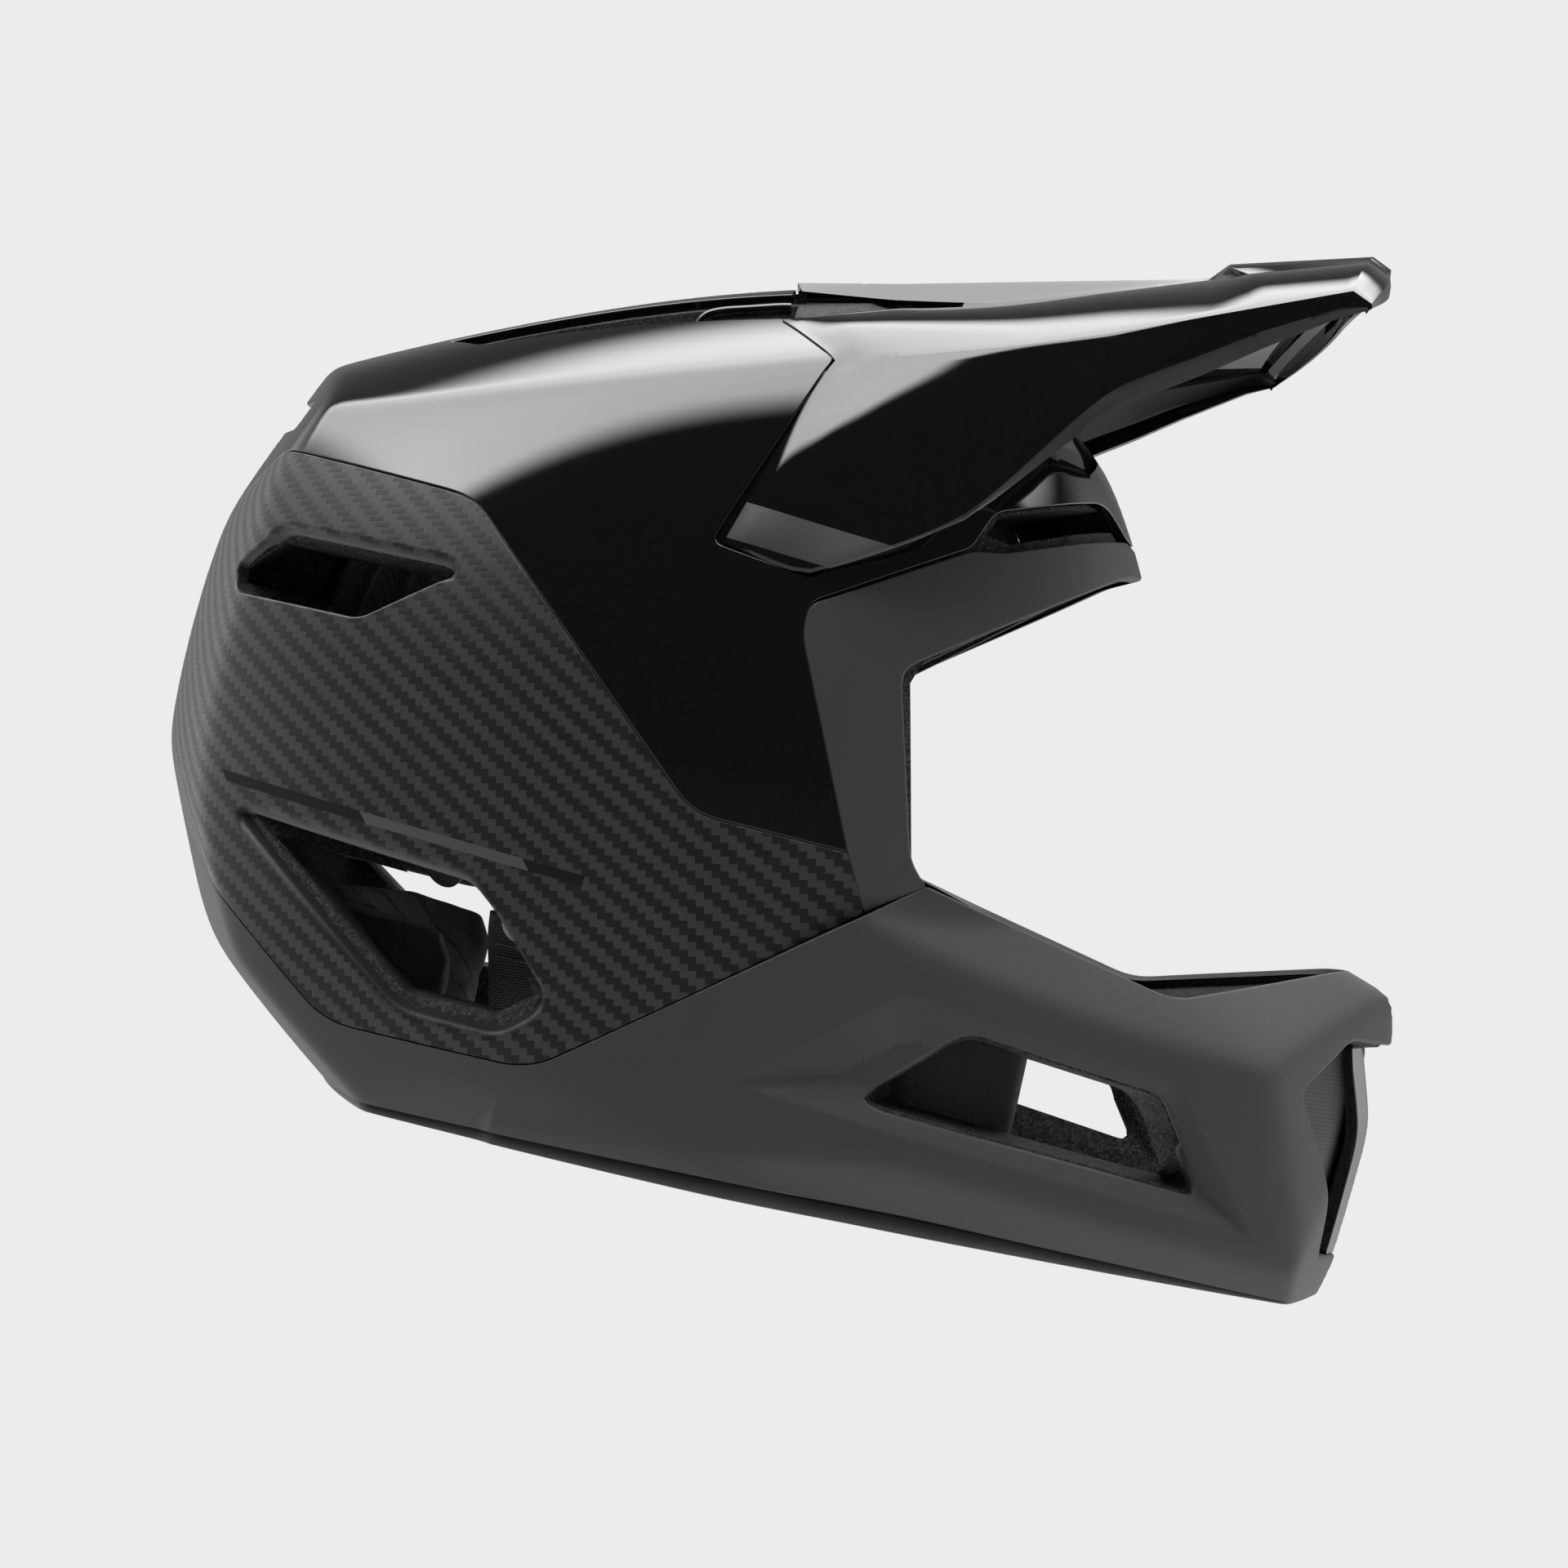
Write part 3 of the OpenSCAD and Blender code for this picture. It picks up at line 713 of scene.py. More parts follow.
# ------------------------------------------------------------------
# Visor: rows of points from the middle rib out to the lower edge
# ------------------------------------------------------------------
RAILS = [
    [(-35, 0, 255.9), (-6, 0, 262.2), (22, 0, 269.2), (50, 0, 276.2), (82, 0, 284.2), (87, 0, 289.9), (127, 0, 300.8), (133, 0, 298), (133.4, 0, 291.8)],
    [(-35, 8, 255.4), (-6, 7.5, 261.8), (22, 7, 268.8), (50, 6.5, 275.8), (82, 6, 283.8), (86, 18, 287.4), (125.2, 22, 298.1), (131, 23, 295.4), (131.6, 23, 289.6)],
    [(-33, 11, 252.9), (-6, 11, 256.5), (22, 12, 262), (50, 10, 272), (82, 8, 283.0), (85.5, 26, 285.3), (123.4, 29, 295.6), (129.4, 30, 293), (130.2, 30, 287.6)],
    [(-36, 44, 240), (-8, 34, 250.2), (22, 26, 259.4), (50, 19, 269.9), (82, 12, 282), (91, 36, 282.8), (122.6, 42, 292.6), (128.4, 43, 290), (129.2, 43, 285.6)],
    [(-18.4, 76, 228.6), (0.6, 83.5, 232.9), (28, 89.5, 241.2), (53, 93.5, 250.1), (78, 96.5, 260.4), (90, 97, 265.4), (112.8, 98, 274.9), (118.4, 98.3, 272.6), (118.8, 98.3, 271.4)],
    [(-36, 102.4, 172), (-12, 102.4, 169), (25, 101.6, 192.3), (54, 99.6, 233), (79, 98.6, 250.3), (91, 98.2, 258.6), (111, 98.2, 269.9), (117.4, 98.5, 271.4), (118, 98.5, 270.6)],
    [(-36, 102.1, 171), (-12, 101.9, 168), (25, 100.8, 191), (55, 98, 227), (80, 97, 245), (92, 97, 254), (110, 97.4, 266.5), (117, 98, 270.2), (117.6, 98, 269.6)]]
SUBS = [16, 10, 10, 11, 5, 12, 4, 4]
ACROSS = [6, 3, 5, 16, 20, 3]


def rail_points(r):
    r = [arr(*p) for p in r]
    out = []
    for i, n in enumerate(SUBS):
        a, b = r[i], r[i + 1]
        for k in range(n):
            t = k / n
            if i < 4:  # behind the hump
                pa = r[i - 1] if i > 0 else a - (b - a)
                pb = r[i + 2] if i < 3 else b + (b - a)
                ta, tb = (b - pa) / 2, (pb - a) / 2
                # gentle: half way between straight and smooth
                h = (2 * t ** 3 - 3 * t * t + 1) * a + (t ** 3 - 2 * t * t + t) * ta + (-2 * t ** 3 + 3 * t * t) * b + (t ** 3 - t * t) * tb
                out.append(0.4 * h + 0.6 * (a + (b - a) * t))
            else:
                out.append(a + (b - a) * t)
    out.append(r[-1])
    return np.array(out)


PROUD = 0.45
SCREW_AT = (-16, 0, 260.1)


def make_visor():
    R = [rail_points(r) for r in RAILS]
    ns = len(R[0])
    rows, tag = [], []
    for i, m in enumerate(ACROSS):
        for k in range(m):
            t = k / m
            P = R[i] * (1 - t) + R[i + 1] * t
            if i in (3, 4):
                # crowned plates: fuller towards the rear
                jj = np.arange(ns)
                if i == 4:
                    bulge = np.interp(jj, [0, 8, 16, 26, 36, 47, ns], [1.3, 1.2, 1.0, 0.6, 0.2, 0.1, 0.05]) * 4 * t * (1 - t)
                    bulge = bulge + np.interp(jj, [0, 6, 14, 24], [0.4, 0.55, 0.6, 0.0]) * (t / 0.15) * math.exp(1 - t / 0.15)
                else:
                    bulge = np.interp(jj, [0, 26, 36, 47, 64, ns], [3.2, 3.8, 4.0, 3.8, 2.8, 1.6]) * 4 * t * (1 - t)
                e = R[i + 1] - R[i]
                f = np.gradient(P, axis=0)
                n = np.cross(f, e)
                n /= np.maximum(np.linalg.norm(n, axis=1, keepdims=True), 1e-6)
                if n[ns // 2, 2] < 0 and i == 3 or n[ns // 2, 1] < 0 and i == 4:
                    n = -n
                P = P + n * bulge[:, None]
            rows.append(P)
            tag.append(i)
    rows.append(R[-1])
    tag.append(len(ACROSS))
    st = np.cumsum([0] + SUBS)
    # the rear end follows the crown just proud of it, then leaves it in one smooth sweep
    G = np.array(rows)
    lo, mid, hi = [min(i for i, t in enumerate(tag) if t == k) for k in (3, 4, 5)]
    hi2 = len(rows)
    J = np.arange(ns)
    w = np.clip(1 - J / 6.0, 0, 1)
    w = w * w * (3 - 2 * w)
    for a, b in ((lo, mid + 1), (mid, hi + 1), (hi, hi2)):
        for _ in range(2):
            for i in range(a, b):
                G[i] -= normal(s_head, G[i]) * ((s_head(G[i]) - PROUD) * w)[:, None]
    for i in (lo, mid, hi, hi2 - 1):
        for _ in range(3):
            G[i, 2:38] += (0.5 * (G[i, 1:37] + G[i, 3:39]) - G[i, 2:38]) * 0.8
    for a, b in ((lo, mid), (mid, hi)):
        for it in range(12):
            B = G[a:b + 1, :40].copy()
            m = (B[:-2, 1:-1] + B[2:, 1:-1] + B[1:-1, :-2] + B[1:-1, 2:]) / 4
            fade = np.clip((36 - np.arange(1, 39)) / 8, 0, 1) * np.clip((np.arange(1, 39) - 1) / 4, 0, 1)
            B[1:-1, 1:-1] += (m - B[1:-1, 1:-1]) * 0.8 * fade[None, :, None]
            Q = B[1:-1, 1:-1].reshape(-1, 3)
            nq = normal(s_head, Q)
            # how far a point comes in when the visor tilts down by 8 degrees about its studs
            come = -math.sin(math.radians(8)) * ((Q[:, 2] - 186) * nq[:, 0] - (Q[:, 0] + 4) * nq[:, 2])
            push = np.maximum(PROUD, come - 0.1) - s_head(Q)
            # soft contact, so that no crease shows where it lets go
            ease = np.tile(np.clip((np.arange(1, 39) - 1) / 7, 0, 1), b - a - 1)
            Q = Q + nq * (0.6 * np.log1p(np.exp(np.clip(push / 0.6, -30, 30))) * ease * 0.5)[:, None]
            B[1:-1, 1:-1] = Q.reshape(B[1:-1, 1:-1].shape)
            G[a:b + 1, :40] = B
    rows = [g for g in G]
    # right side (y < 0) first, from the lower edge up to the rib, then down the left side
    grid = [r * arr(1, -1, 1) for r in rows[::-1]] + rows[1:]
    tags = [t - 1 for t in tag[::-1][:-1]] + tag[:-1]
    tags = [max(t, 0) for t in tags]
    left = [tag[i] for i in range(len(rows) - 1)]
    strips = left[::-1] + left
    V = np.vstack(grid)
    F = []
    for i in range(len(grid) - 1):
        for j in range(ns - 1):
            if strips[i] == 2 and j < st[2] - 3:
                continue
            a = i * ns + j
            f = (a, a + 1, a + ns + 1, a + ns)
            mid = V[list(f)].mean(0)
            # hole for the screw's shank
            if math.hypot(mid[0] - SCREW_AT[0], mid[1]) < 2.8:
                continue
            F.append(f)
    me = bpy.data.meshes.new("visor_skin")
    for k in range(2):
        me.materials.append(bpy.data.materials.new("visor_slot_%d" % k))
    me.from_pydata((V * MM).tolist(), [], F)
    me.update()
    bm = bmesh.new()
    bm.from_mesh(me)
    bmesh.ops.delete(bm, geom=[v for v in bm.verts if not v.link_faces], context="VERTS")
    bmesh.ops.recalc_face_normals(bm, faces=bm.faces)
    up = sum(f.normal.z * f.calc_area() for f in bm.faces)
    if up < 0:
        bmesh.ops.reverse_faces(bm, faces=bm.faces)
    bm.to_mesh(me)
    bm.free()
    me.polygons.foreach_set("use_smooth", [True] * len(me.polygons))
    ob = bpy.data.objects.new("visor_skin", me)
    SC.collection.objects.link(ob)
    cr = ob.modifiers.new("crease", "BEVEL")
    cr.width = 0.00045
    cr.segments = 2
    cr.limit_method = "ANGLE"
    cr.angle_limit = math.radians(24)
    so = ob.modifiers.new("thick", "SOLIDIFY")
    so.thickness = 0.0022
    so.offset = -1
    vg = ob.vertex_groups.new(name="t")
    for v in ob.data.vertices:
        d = float(s_head(np.array([v.co[:]]) / MM)[0]) if v.co.x < 0.03 else 99
        vg.add([v.index], 0.66 if d < 1.6 else min(1.0, 0.66 + (d - 1.6) * 0.1), "REPLACE")
    so.vertex_group = "t"
    so.use_even_offset = True
    so.material_offset_rim = 1
    so.thickness_clamp = 1.0
    apply_all(ob)
    # only the edges of the rim are eased
    bm = bmesh.new()
    bm.from_mesh(ob.data)
    wl = bm.edges.layers.float.get("bevel_weight_edge") or bm.edges.layers.float.new("bevel_weight_edge")
    for e in bm.edges:
        e[wl] = 1.0 if len({f.material_index for f in e.link_faces}) > 1 else 0.0
    for f in bm.faces:
        f.material_index = 0
    bm.to_mesh(ob.data)
    bm.free()
    be = ob.modifiers.new("edge", "BEVEL")
    be.width = 0.00025
    be.segments = 2
    be.limit_method = "WEIGHT"
    # the bevel faces take slot 1, which is painted a lighter grey: a painted highlight along the visor's rim edges
    be.material = 1
    return apply_all(ob)


def apply_all(ob):
    dg = bpy.context.evaluated_depsgraph_get()
    me = bpy.data.meshes.new_from_object(ob.evaluated_get(dg))
    ob.modifiers.clear()
    ob.data = me
    return ob


visor = make_visor()
visor.data.set_sharp_from_angle(angle=math.radians(20))
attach(visor, "visor_body")
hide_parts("visor")


# ------------------------------------------------------------------
# Nose insert
# ------------------------------------------------------------------
def s_insert(P):
    ay = np.sqrt(P[:, 1] ** 2 + 0.8)
    return soft_max([s_chin(P) + 0.7, (P[:, 0] + 0.42 * ay) * 0.949 + 0.316 * P[:, 2] - 192.1])


INSERT = [(-13, 75.4, 1.5), (13, 75.4, 1.5), (14.5, 70, 2), (11, 14, 2.0), (-11, 14, 2.0), (-14.5, 70, 2)]
ins_loops = [front_loop(s_insert, INSERT, 1.1)]
panel("nose_insert", "chin_grille", "gloss_black", s_insert, ins_loops, arr(120, 0, 45), (-1, 0, 0), 3.4, 0.35, inset=0.1, seg=3, refine=0)


panel("nose_mesh", "grille_mesh", "black_plastic", shifted(s_chin, 6.5), [front_loop(shifted(s_chin, 6.5), [(-42, 60, 4), (-18, 75, 4), (18, 75, 4), (42, 60, 4), (24.5, 16, 5), (-24.5, 16, 5)], 1.4)],
      arr(120, 0, 45), (-1, 0, 0), 1.0, 0.2, inset=0.1, seg=2, refine=0)

# ------------------------------------------------------------------
# Rubber edging round the lower rim
# ------------------------------------------------------------------
def lip_height(x):
    return np.interp(x, [-125, -75, -6, 56, 120, 165, 190], [1.5, 2.4, 4.3, 4.8, 2.5, 0.6, 0.5])


rim_path = []
L = wrap_loop(s_low, LOW_BOTTOM, 2.0)
nL = normal(s_low, L)
nL[:, 2] = 0
nL /= np.linalg.norm(nL, axis=1, keepdims=True)
zb = L[:, 2]
prof = []
low_z = 0.02
for d, zf in [(1.0, 0.8), (0.9, 0.35), (1.25, 0.08), (2.0, 0.0), (5.4, 0.0), (6.1, 0.12), (6.5, 0.5), (6.5, 3.0), (6.2, 5.6), (5.6, 6.0), (3.6, 6.0)]:
    Pk = L - nL * d
    if zf <= 1.0 and d < 2.5:
        Pk[:, 2] = low_z + (zb + 0.6 - low_z) * zf
    else:
        Pk[:, 2] = low_z + zf
    prof.append(Pk)
V = np.vstack(prof)
k = len(L)
m = len(prof)
F = []
for i in range(m):
    for j in range(k):
        F.append((i * k + j, i * k + (j + 1) % k, ((i + 1) % m) * k + (j + 1) % k, ((i + 1) % m) * k + j))
rim = mesh_object("rim_edging", V, F)
rim.data.set_sharp_from_angle(angle=math.radians(60))
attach(rim, "helmet")
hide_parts("base_trim")


# ------------------------------------------------------------------
# Ribbons, lathed parts, stitches
# ------------------------------------------------------------------
def unit(A):
    return A / np.maximum(np.linalg.norm(A, axis=-1, keepdims=True), 1e-9)


def smooth_path(pts, h, closed=False):
    """a smooth curve through the points, at even steps"""
    P = arr(*pts)
    n = len(P)
    out = []
    for i in range(n if closed else n - 1):
        a, b = P[i], P[(i + 1) % n]
        pa = P[i - 1] if closed or i > 0 else a - (b - a)
        pb = P[(i + 2) % n] if closed or i < n - 2 else b + (b - a)
        ta, tb = (b - pa) / 2, (pb - a) / 2
        for k in range(24):
            t = k / 24
            out.append((2 * t ** 3 - 3 * t * t + 1) * a + (t ** 3 - 2 * t * t + t) * ta + (-2 * t ** 3 + 3 * t * t) * b + (t ** 3 - t * t) * tb)
    if not closed:
        out.append(P[-1])
    return resample3(np.array(out), h, closed)


def ribbon(name, P, side, width, thick, body, nu=12, closed=False, wave=0.0):
    """a flat band along P. side is the direction of its width; its texture coordinates are metres"""
    n = len(P)
    T = unit(np.gradient(P, axis=0))
    if closed:
        T = unit(np.roll(P, -1, 0) - np.roll(P, 1, 0))
    S = np.broadcast_to(np.asarray(side, float), P.shape).copy()
    S = unit(S - T * (S * T).sum(1, keepdims=True))
    N = np.cross(T, S)
    s = np.concatenate([[0], np.cumsum(np.linalg.norm(np.diff(P, axis=0), axis=1))])
    us = np.linspace(-1, 1, nu + 1)
    prof = [(u * width / 2, thick / 2 * (1 if abs(u) < 0.99 else 0.45)) for u in us] + [(u * width / 2, -thick / 2 * (1 if abs(u) < 0.99 else 0.45)) for u in us[::-1]]
    m = len(prof)
    W = 1 + wave * np.sin(s / 4.3) * 0.01
    V = np.vstack([P + S * (a * W)[:, None] + N * b for a, b in prof])
    UV = np.vstack([np.stack([np.full(n, a * MM), s * MM], 1) for a, b in prof])
    F = []
    for i in range(m):
        for j in range(n if closed else n - 1):
            F.append((i * n + j, ((i + 1) % m) * n + j, ((i + 1) % m) * n + (j + 1) % n, i * n + (j + 1) % n))
    if not closed:
        for j, rev in ((0, False), (n - 1, True)):
            for k in range(nu):
                f = (k * n + j, (k + 1) * n + j, (m - 2 - k) * n + j, (m - 1 - k) * n + j)
                F.append(f if rev else f[::-1])
    ob = mesh_object(name, V, F)
    bm = bmesh.new()
    bm.from_mesh(ob.data)
    bmesh.ops.recalc_face_normals(bm, faces=bm.faces)
    bm.to_mesh(ob.data)
    bm.free()
    uv = ob.data.uv_layers.new(name="UVMap")
    vi = np.zeros(len(ob.data.loops), dtype=np.int32)
    ob.data.loops.foreach_get("vertex_index", vi)
    uv.data.foreach_set("uv", UV[vi].astype(np.float32).ravel())
    ob.data.set_sharp_from_angle(angle=math.radians(50))
    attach(ob, body)
    PIECES[name] = ob
    return ob


def lathe_y(outline, cx, cz, sgn, seg=48):
    """rings about an axis across the helmet: outline is a list of radius and y"""
    V, F = [], []
    a = np.linspace(0, 2 * math.pi, seg, endpoint=False)
    for r, y in outline:
        V.append(np.stack([cx + r * np.cos(a), np.full(seg, sgn * y), cz + r * np.sin(a)], 1))
    m = len(outline)
    for i in range(m - 1):
        for j in range(seg):
            F.append((i * seg + j, i * seg + (j + 1) % seg, (i + 1) * seg + (j + 1) % seg, (i + 1) * seg + j))
    F.append(tuple(range(seg))[::-1])
    F.append(tuple((m - 1) * seg + j for j in range(seg)))
    return np.vstack(V), F


def merge(parts):
    V, F, o = [], [], 0
    for v, f in parts:
        V.append(v)
        F += [tuple(i + o for i in g) for g in f]
        o += len(v)
    return np.vstack(V), F


def closed_up(ob):
    bm = bmesh.new()
    bm.from_mesh(ob.data)
    bmesh.ops.recalc_face_normals(bm, faces=bm.faces)
    bm.to_mesh(ob.data)
    bm.free()


def stitches(name, runs, body, pitch=3.3, length=2.5, r=0.24, rise=0.16):
    """short threads along runs of points; each run is points and surface normals"""
    parts = []
    ring = np.linspace(0, 2 * math.pi, 6, endpoint=False)
    for P, N in runs:
        s = np.concatenate([[0], np.cumsum(np.linalg.norm(np.diff(P, axis=0), axis=1))])
        c = np.arange(pitch / 2, s[-1], pitch)
        for s0 in c:
            q = s0 + np.linspace(-length / 2, length / 2, 6)
            C = np.stack([np.interp(q, s, P[:, i]) for i in range(3)], 1)
            M_ = unit(np.stack([np.interp(q, s, N[:, i]) for i in range(3)], 1))
            T = unit(np.gradient(C, axis=0))
            B = unit(np.cross(T, M_))
            h = np.array([-0.3, 0.6, 1, 1, 0.6, -0.3]) * rise
            rad = np.array([0.5, 0.95, 1, 1, 0.95, 0.5]) * r
            V = np.vstack([C[k] + M_[k] * (h[k] + math.sin(t) * rad[k]) + B[k] * math.cos(t) * rad[k] for k in range(6) for t in ring])
            F = [(k * 6 + j, k * 6 + (j + 1) % 6, k * 6 + 6 + (j + 1) % 6, k * 6 + 6 + j) for k in range(5) for j in range(6)]
            F += [tuple(range(6))[::-1], tuple(30 + j for j in range(6))]
            parts.append((V, F))
    V, F = merge(parts)
    ob = mesh_object(name, V, F)
    closed_up(ob)
    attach(ob, body)
    PIECES[name] = ob
    return ob


# ------------------------------------------------------------------
# Seam line between the crown and the rear shell
# ------------------------------------------------------------------
A = along(fillet(SEAM_REAR[1:] + [(15, 98, 0)], False), False)
LP = resample3(lift(s_head, A, 1, -1, 140), 2.0, False)
LP = LP[(LP[:, 0] > -111) | (LP[:, 2] < 168)]
for y in (1, -1):
    Pd = LP * arr(1, y, 1)
    Nn = normal(s_head, Pd)
    Pd = Pd - Nn * 0.85
    ribbon("seam_line_" + ("near" if y > 0 else "far"), Pd, np.cross(Nn, unit(np.gradient(Pd, axis=0))), 2.0, 0.35, "helmet", nu=2)

# ------------------------------------------------------------------
# Crown foam: the side and low vents flare out to the edge of the shell
# ------------------------------------------------------------------
def flare(loop, apex, k0=1.04, k1=0.66):
    """a closed cone through an outline, for cutting"""
    n = len(loop)
    V = np.vstack([apex + (loop - apex) * k0, apex + (loop - apex) * k1])
    F = [(j, (j + 1) % n, n + (j + 1) % n, n + j) for j in range(n)] + [tuple(range(n))[::-1], tuple(n + j for j in range(n))]
    ob = mesh_object("cutter", V, F, smooth=False)
    bm = bmesh.new()
    bm.from_mesh(ob.data)
    bmesh.ops.triangulate(bm, faces=[f for f in bm.faces if len(f.verts) > 4])
    bmesh.ops.recalc_face_normals(bm, faces=bm.faces)
    bm.to_mesh(ob.data)
    bm.free()
    return ob


core_me = frame["nodes"]["crown_foam"].data.copy()
core_me.transform(frame["nodes"]["crown_foam"].matrix_world)
core_me.materials.clear()
core = bpy.data.objects.new("crown_core", core_me)
SC.collection.objects.link(core)
cutters = []
for outline in (SIDE_VENT, LOW_VENT):
    near = side_loop(s_head, outline, 2.4)
    for q in (near, mirror(near)):
        cutters.append(flare(q, HC))
for cu in cutters:
    bo = core.modifiers.new("cut", "BOOLEAN")
    bo.operation = "DIFFERENCE"
    bo.solver = "EXACT"
    bo.object = cu
apply_all(core)
for cu in cutters:
    bpy.data.objects.remove(cu)
core.data.polygons.foreach_set("use_smooth", [True] * len(core.data.polygons))
core.data.set_sharp_from_angle(angle=math.radians(28))
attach(core, "helmet")
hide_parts("crown_foam")
PIECES["crown_core"] = core

# ------------------------------------------------------------------
# Pivot studs of the visor
# ------------------------------------------------------------------
ys = np.linspace(80, 110, 600)
cheek_y = float(np.interp(PROUD - 2.0, s_head(np.stack([np.full(600, -4.0), ys, np.full(600, 186.0)], 1)), ys))
stud = [(0.9, 84.0), (3.2, 84.0), (3.6, 84.4), (3.95, 85.0), (3.95, 91.0), (3.7, 91.2), (3.7, 92.2), (3.95, 92.4), (3.95, cheek_y - 0.6), (3.4, cheek_y), (0.9, cheek_y)]
V, F = merge([lathe_y(stud, -4, 186, s) for s in (1, -1)])
studs = mesh_object("pivot_studs", V, F)
closed_up(studs)
studs.data.set_sharp_from_angle(angle=math.radians(35))
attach(studs, "visor_body")
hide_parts("visor_studs")
PIECES["pivot_studs"] = studs

# ------------------------------------------------------------------
# Air ducts: gloss bridges across the front of the channels
# ------------------------------------------------------------------
parts = []
for sgn in (1, -1):
    path = smooth_path([(-58.6, 0, 229.5), (-58.9, 0, 233), (-57.6, 0, 236.6), (-53.5, 0, 238.9), (-46, 0, 241.2), (-38, 0, 243.6), (-34.5, 0, 244.4)], 0.8)
    T = unit(np.gradient(path, axis=0))
    Nn = np.stack([T[:, 2], T[:, 1] * 0, -T[:, 0]], 1)
    n = len(path)
    yy = np.concatenate([[15.4], np.linspace(16, 31, 9), [31.6]])
    out = []
    for side_ in (0, 1):
        for k, y in enumerate(yy):
            edge = 0.45 if k in (0, len(yy) - 1) else 0.0
            # the crown of the bridge is a little higher in the middle
            arch = 0.9 * (1 - ((y - 23.5) / 8) ** 2)
            Q = path + Nn * ((-edge if side_ == 0 else -1.7 + edge))
            Q = Q + np.array([0, 0, 1.0]) * arch
            Q[:, 1] = sgn * y
            out.append(Q)
    m = len(yy)
    V = np.vstack(out)
    F = []
    order = list(range(m)) + [m + k for k in range(m)][::-1]
    for a, b in zip(order, order[1:] + order[:1]):
        for j in range(n - 1):
            F.append((a * n + j, b * n + j, b * n + j + 1, a * n + j + 1))
    for j in (0, n - 1):
        for k in range(m - 1):
            F.append((k * n + j, (k + 1) * n + j, (m + k + 1) * n + j, (m + k) * n + j))
    parts.append((V, F))
V, F = merge(parts)
ducts = mesh_object("duct_bridges", V, F)
closed_up(ducts)
ducts.data.set_sharp_from_angle(angle=math.radians(50))
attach(ducts, "helmet")
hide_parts("crown_ducts")
PIECES["duct_bridges"] = ducts

# ------------------------------------------------------------------
# Chin strap: ribbed webbing with bar tacks near the anchors, and the pull tabs
# ------------------------------------------------------------------
STRAP = [(-66, 84.4, 61), (-65.2, 78, 53), (-63, 66, 40), (-60.6, 53, 28.2), (-58.6, 38, 19.8), (-56.6, 26, 16), (-56, 17, 15)]
for nm, s in (("left", 1), ("right", -1)):
    P = smooth_path([(x, s * y, z) for x, y, z in STRAP], 1.2)
    ribbon("chin_webbing_" + nm, P, (1, 0, 0), 20, 1.8, "helmet", nu=14, wave=1.0)
    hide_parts("strap_" + nm)
    # bar tacks: two rows of thread across the webbing near the anchor
    runs = []
    T = unit(np.gradient(P, axis=0))
    for k in (9, 13):
        N1 = unit(np.cross(T[k], (1, 0, 0)))
        for sg in (1, -1):
            row = np.array([P[k] + np.array([u, 0, 0]) + N1 * 0.92 * sg for u in np.linspace(-8, 8, 30)])
            runs.append((row, np.broadcast_to(N1 * sg, row.shape)))
    stitches("strap_tacks_" + nm, runs, "helmet", pitch=1.7, length=1.5, r=0.28, rise=0.12)

for s in (1, -1):
    P = smooth_path([(-81, s * 71.55, 7.4), (-81, s * 71.45, 4.6), (-81, s * 71.5, 1.9), (-81, s * 71.75, 0.98), (-81, s * 72.2, 0.98), (-81, s * 72.5, 1.9), (-81, s * 72.5, 4.6), (-81, s * 72.45, 7.4)], 0.35)
    t = ribbon("pull_tab_" + ("left" if s > 0 else "right"), P, (1, 0, 0), 14, 0.75, "helmet", nu=10)
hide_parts("pull_tabs")


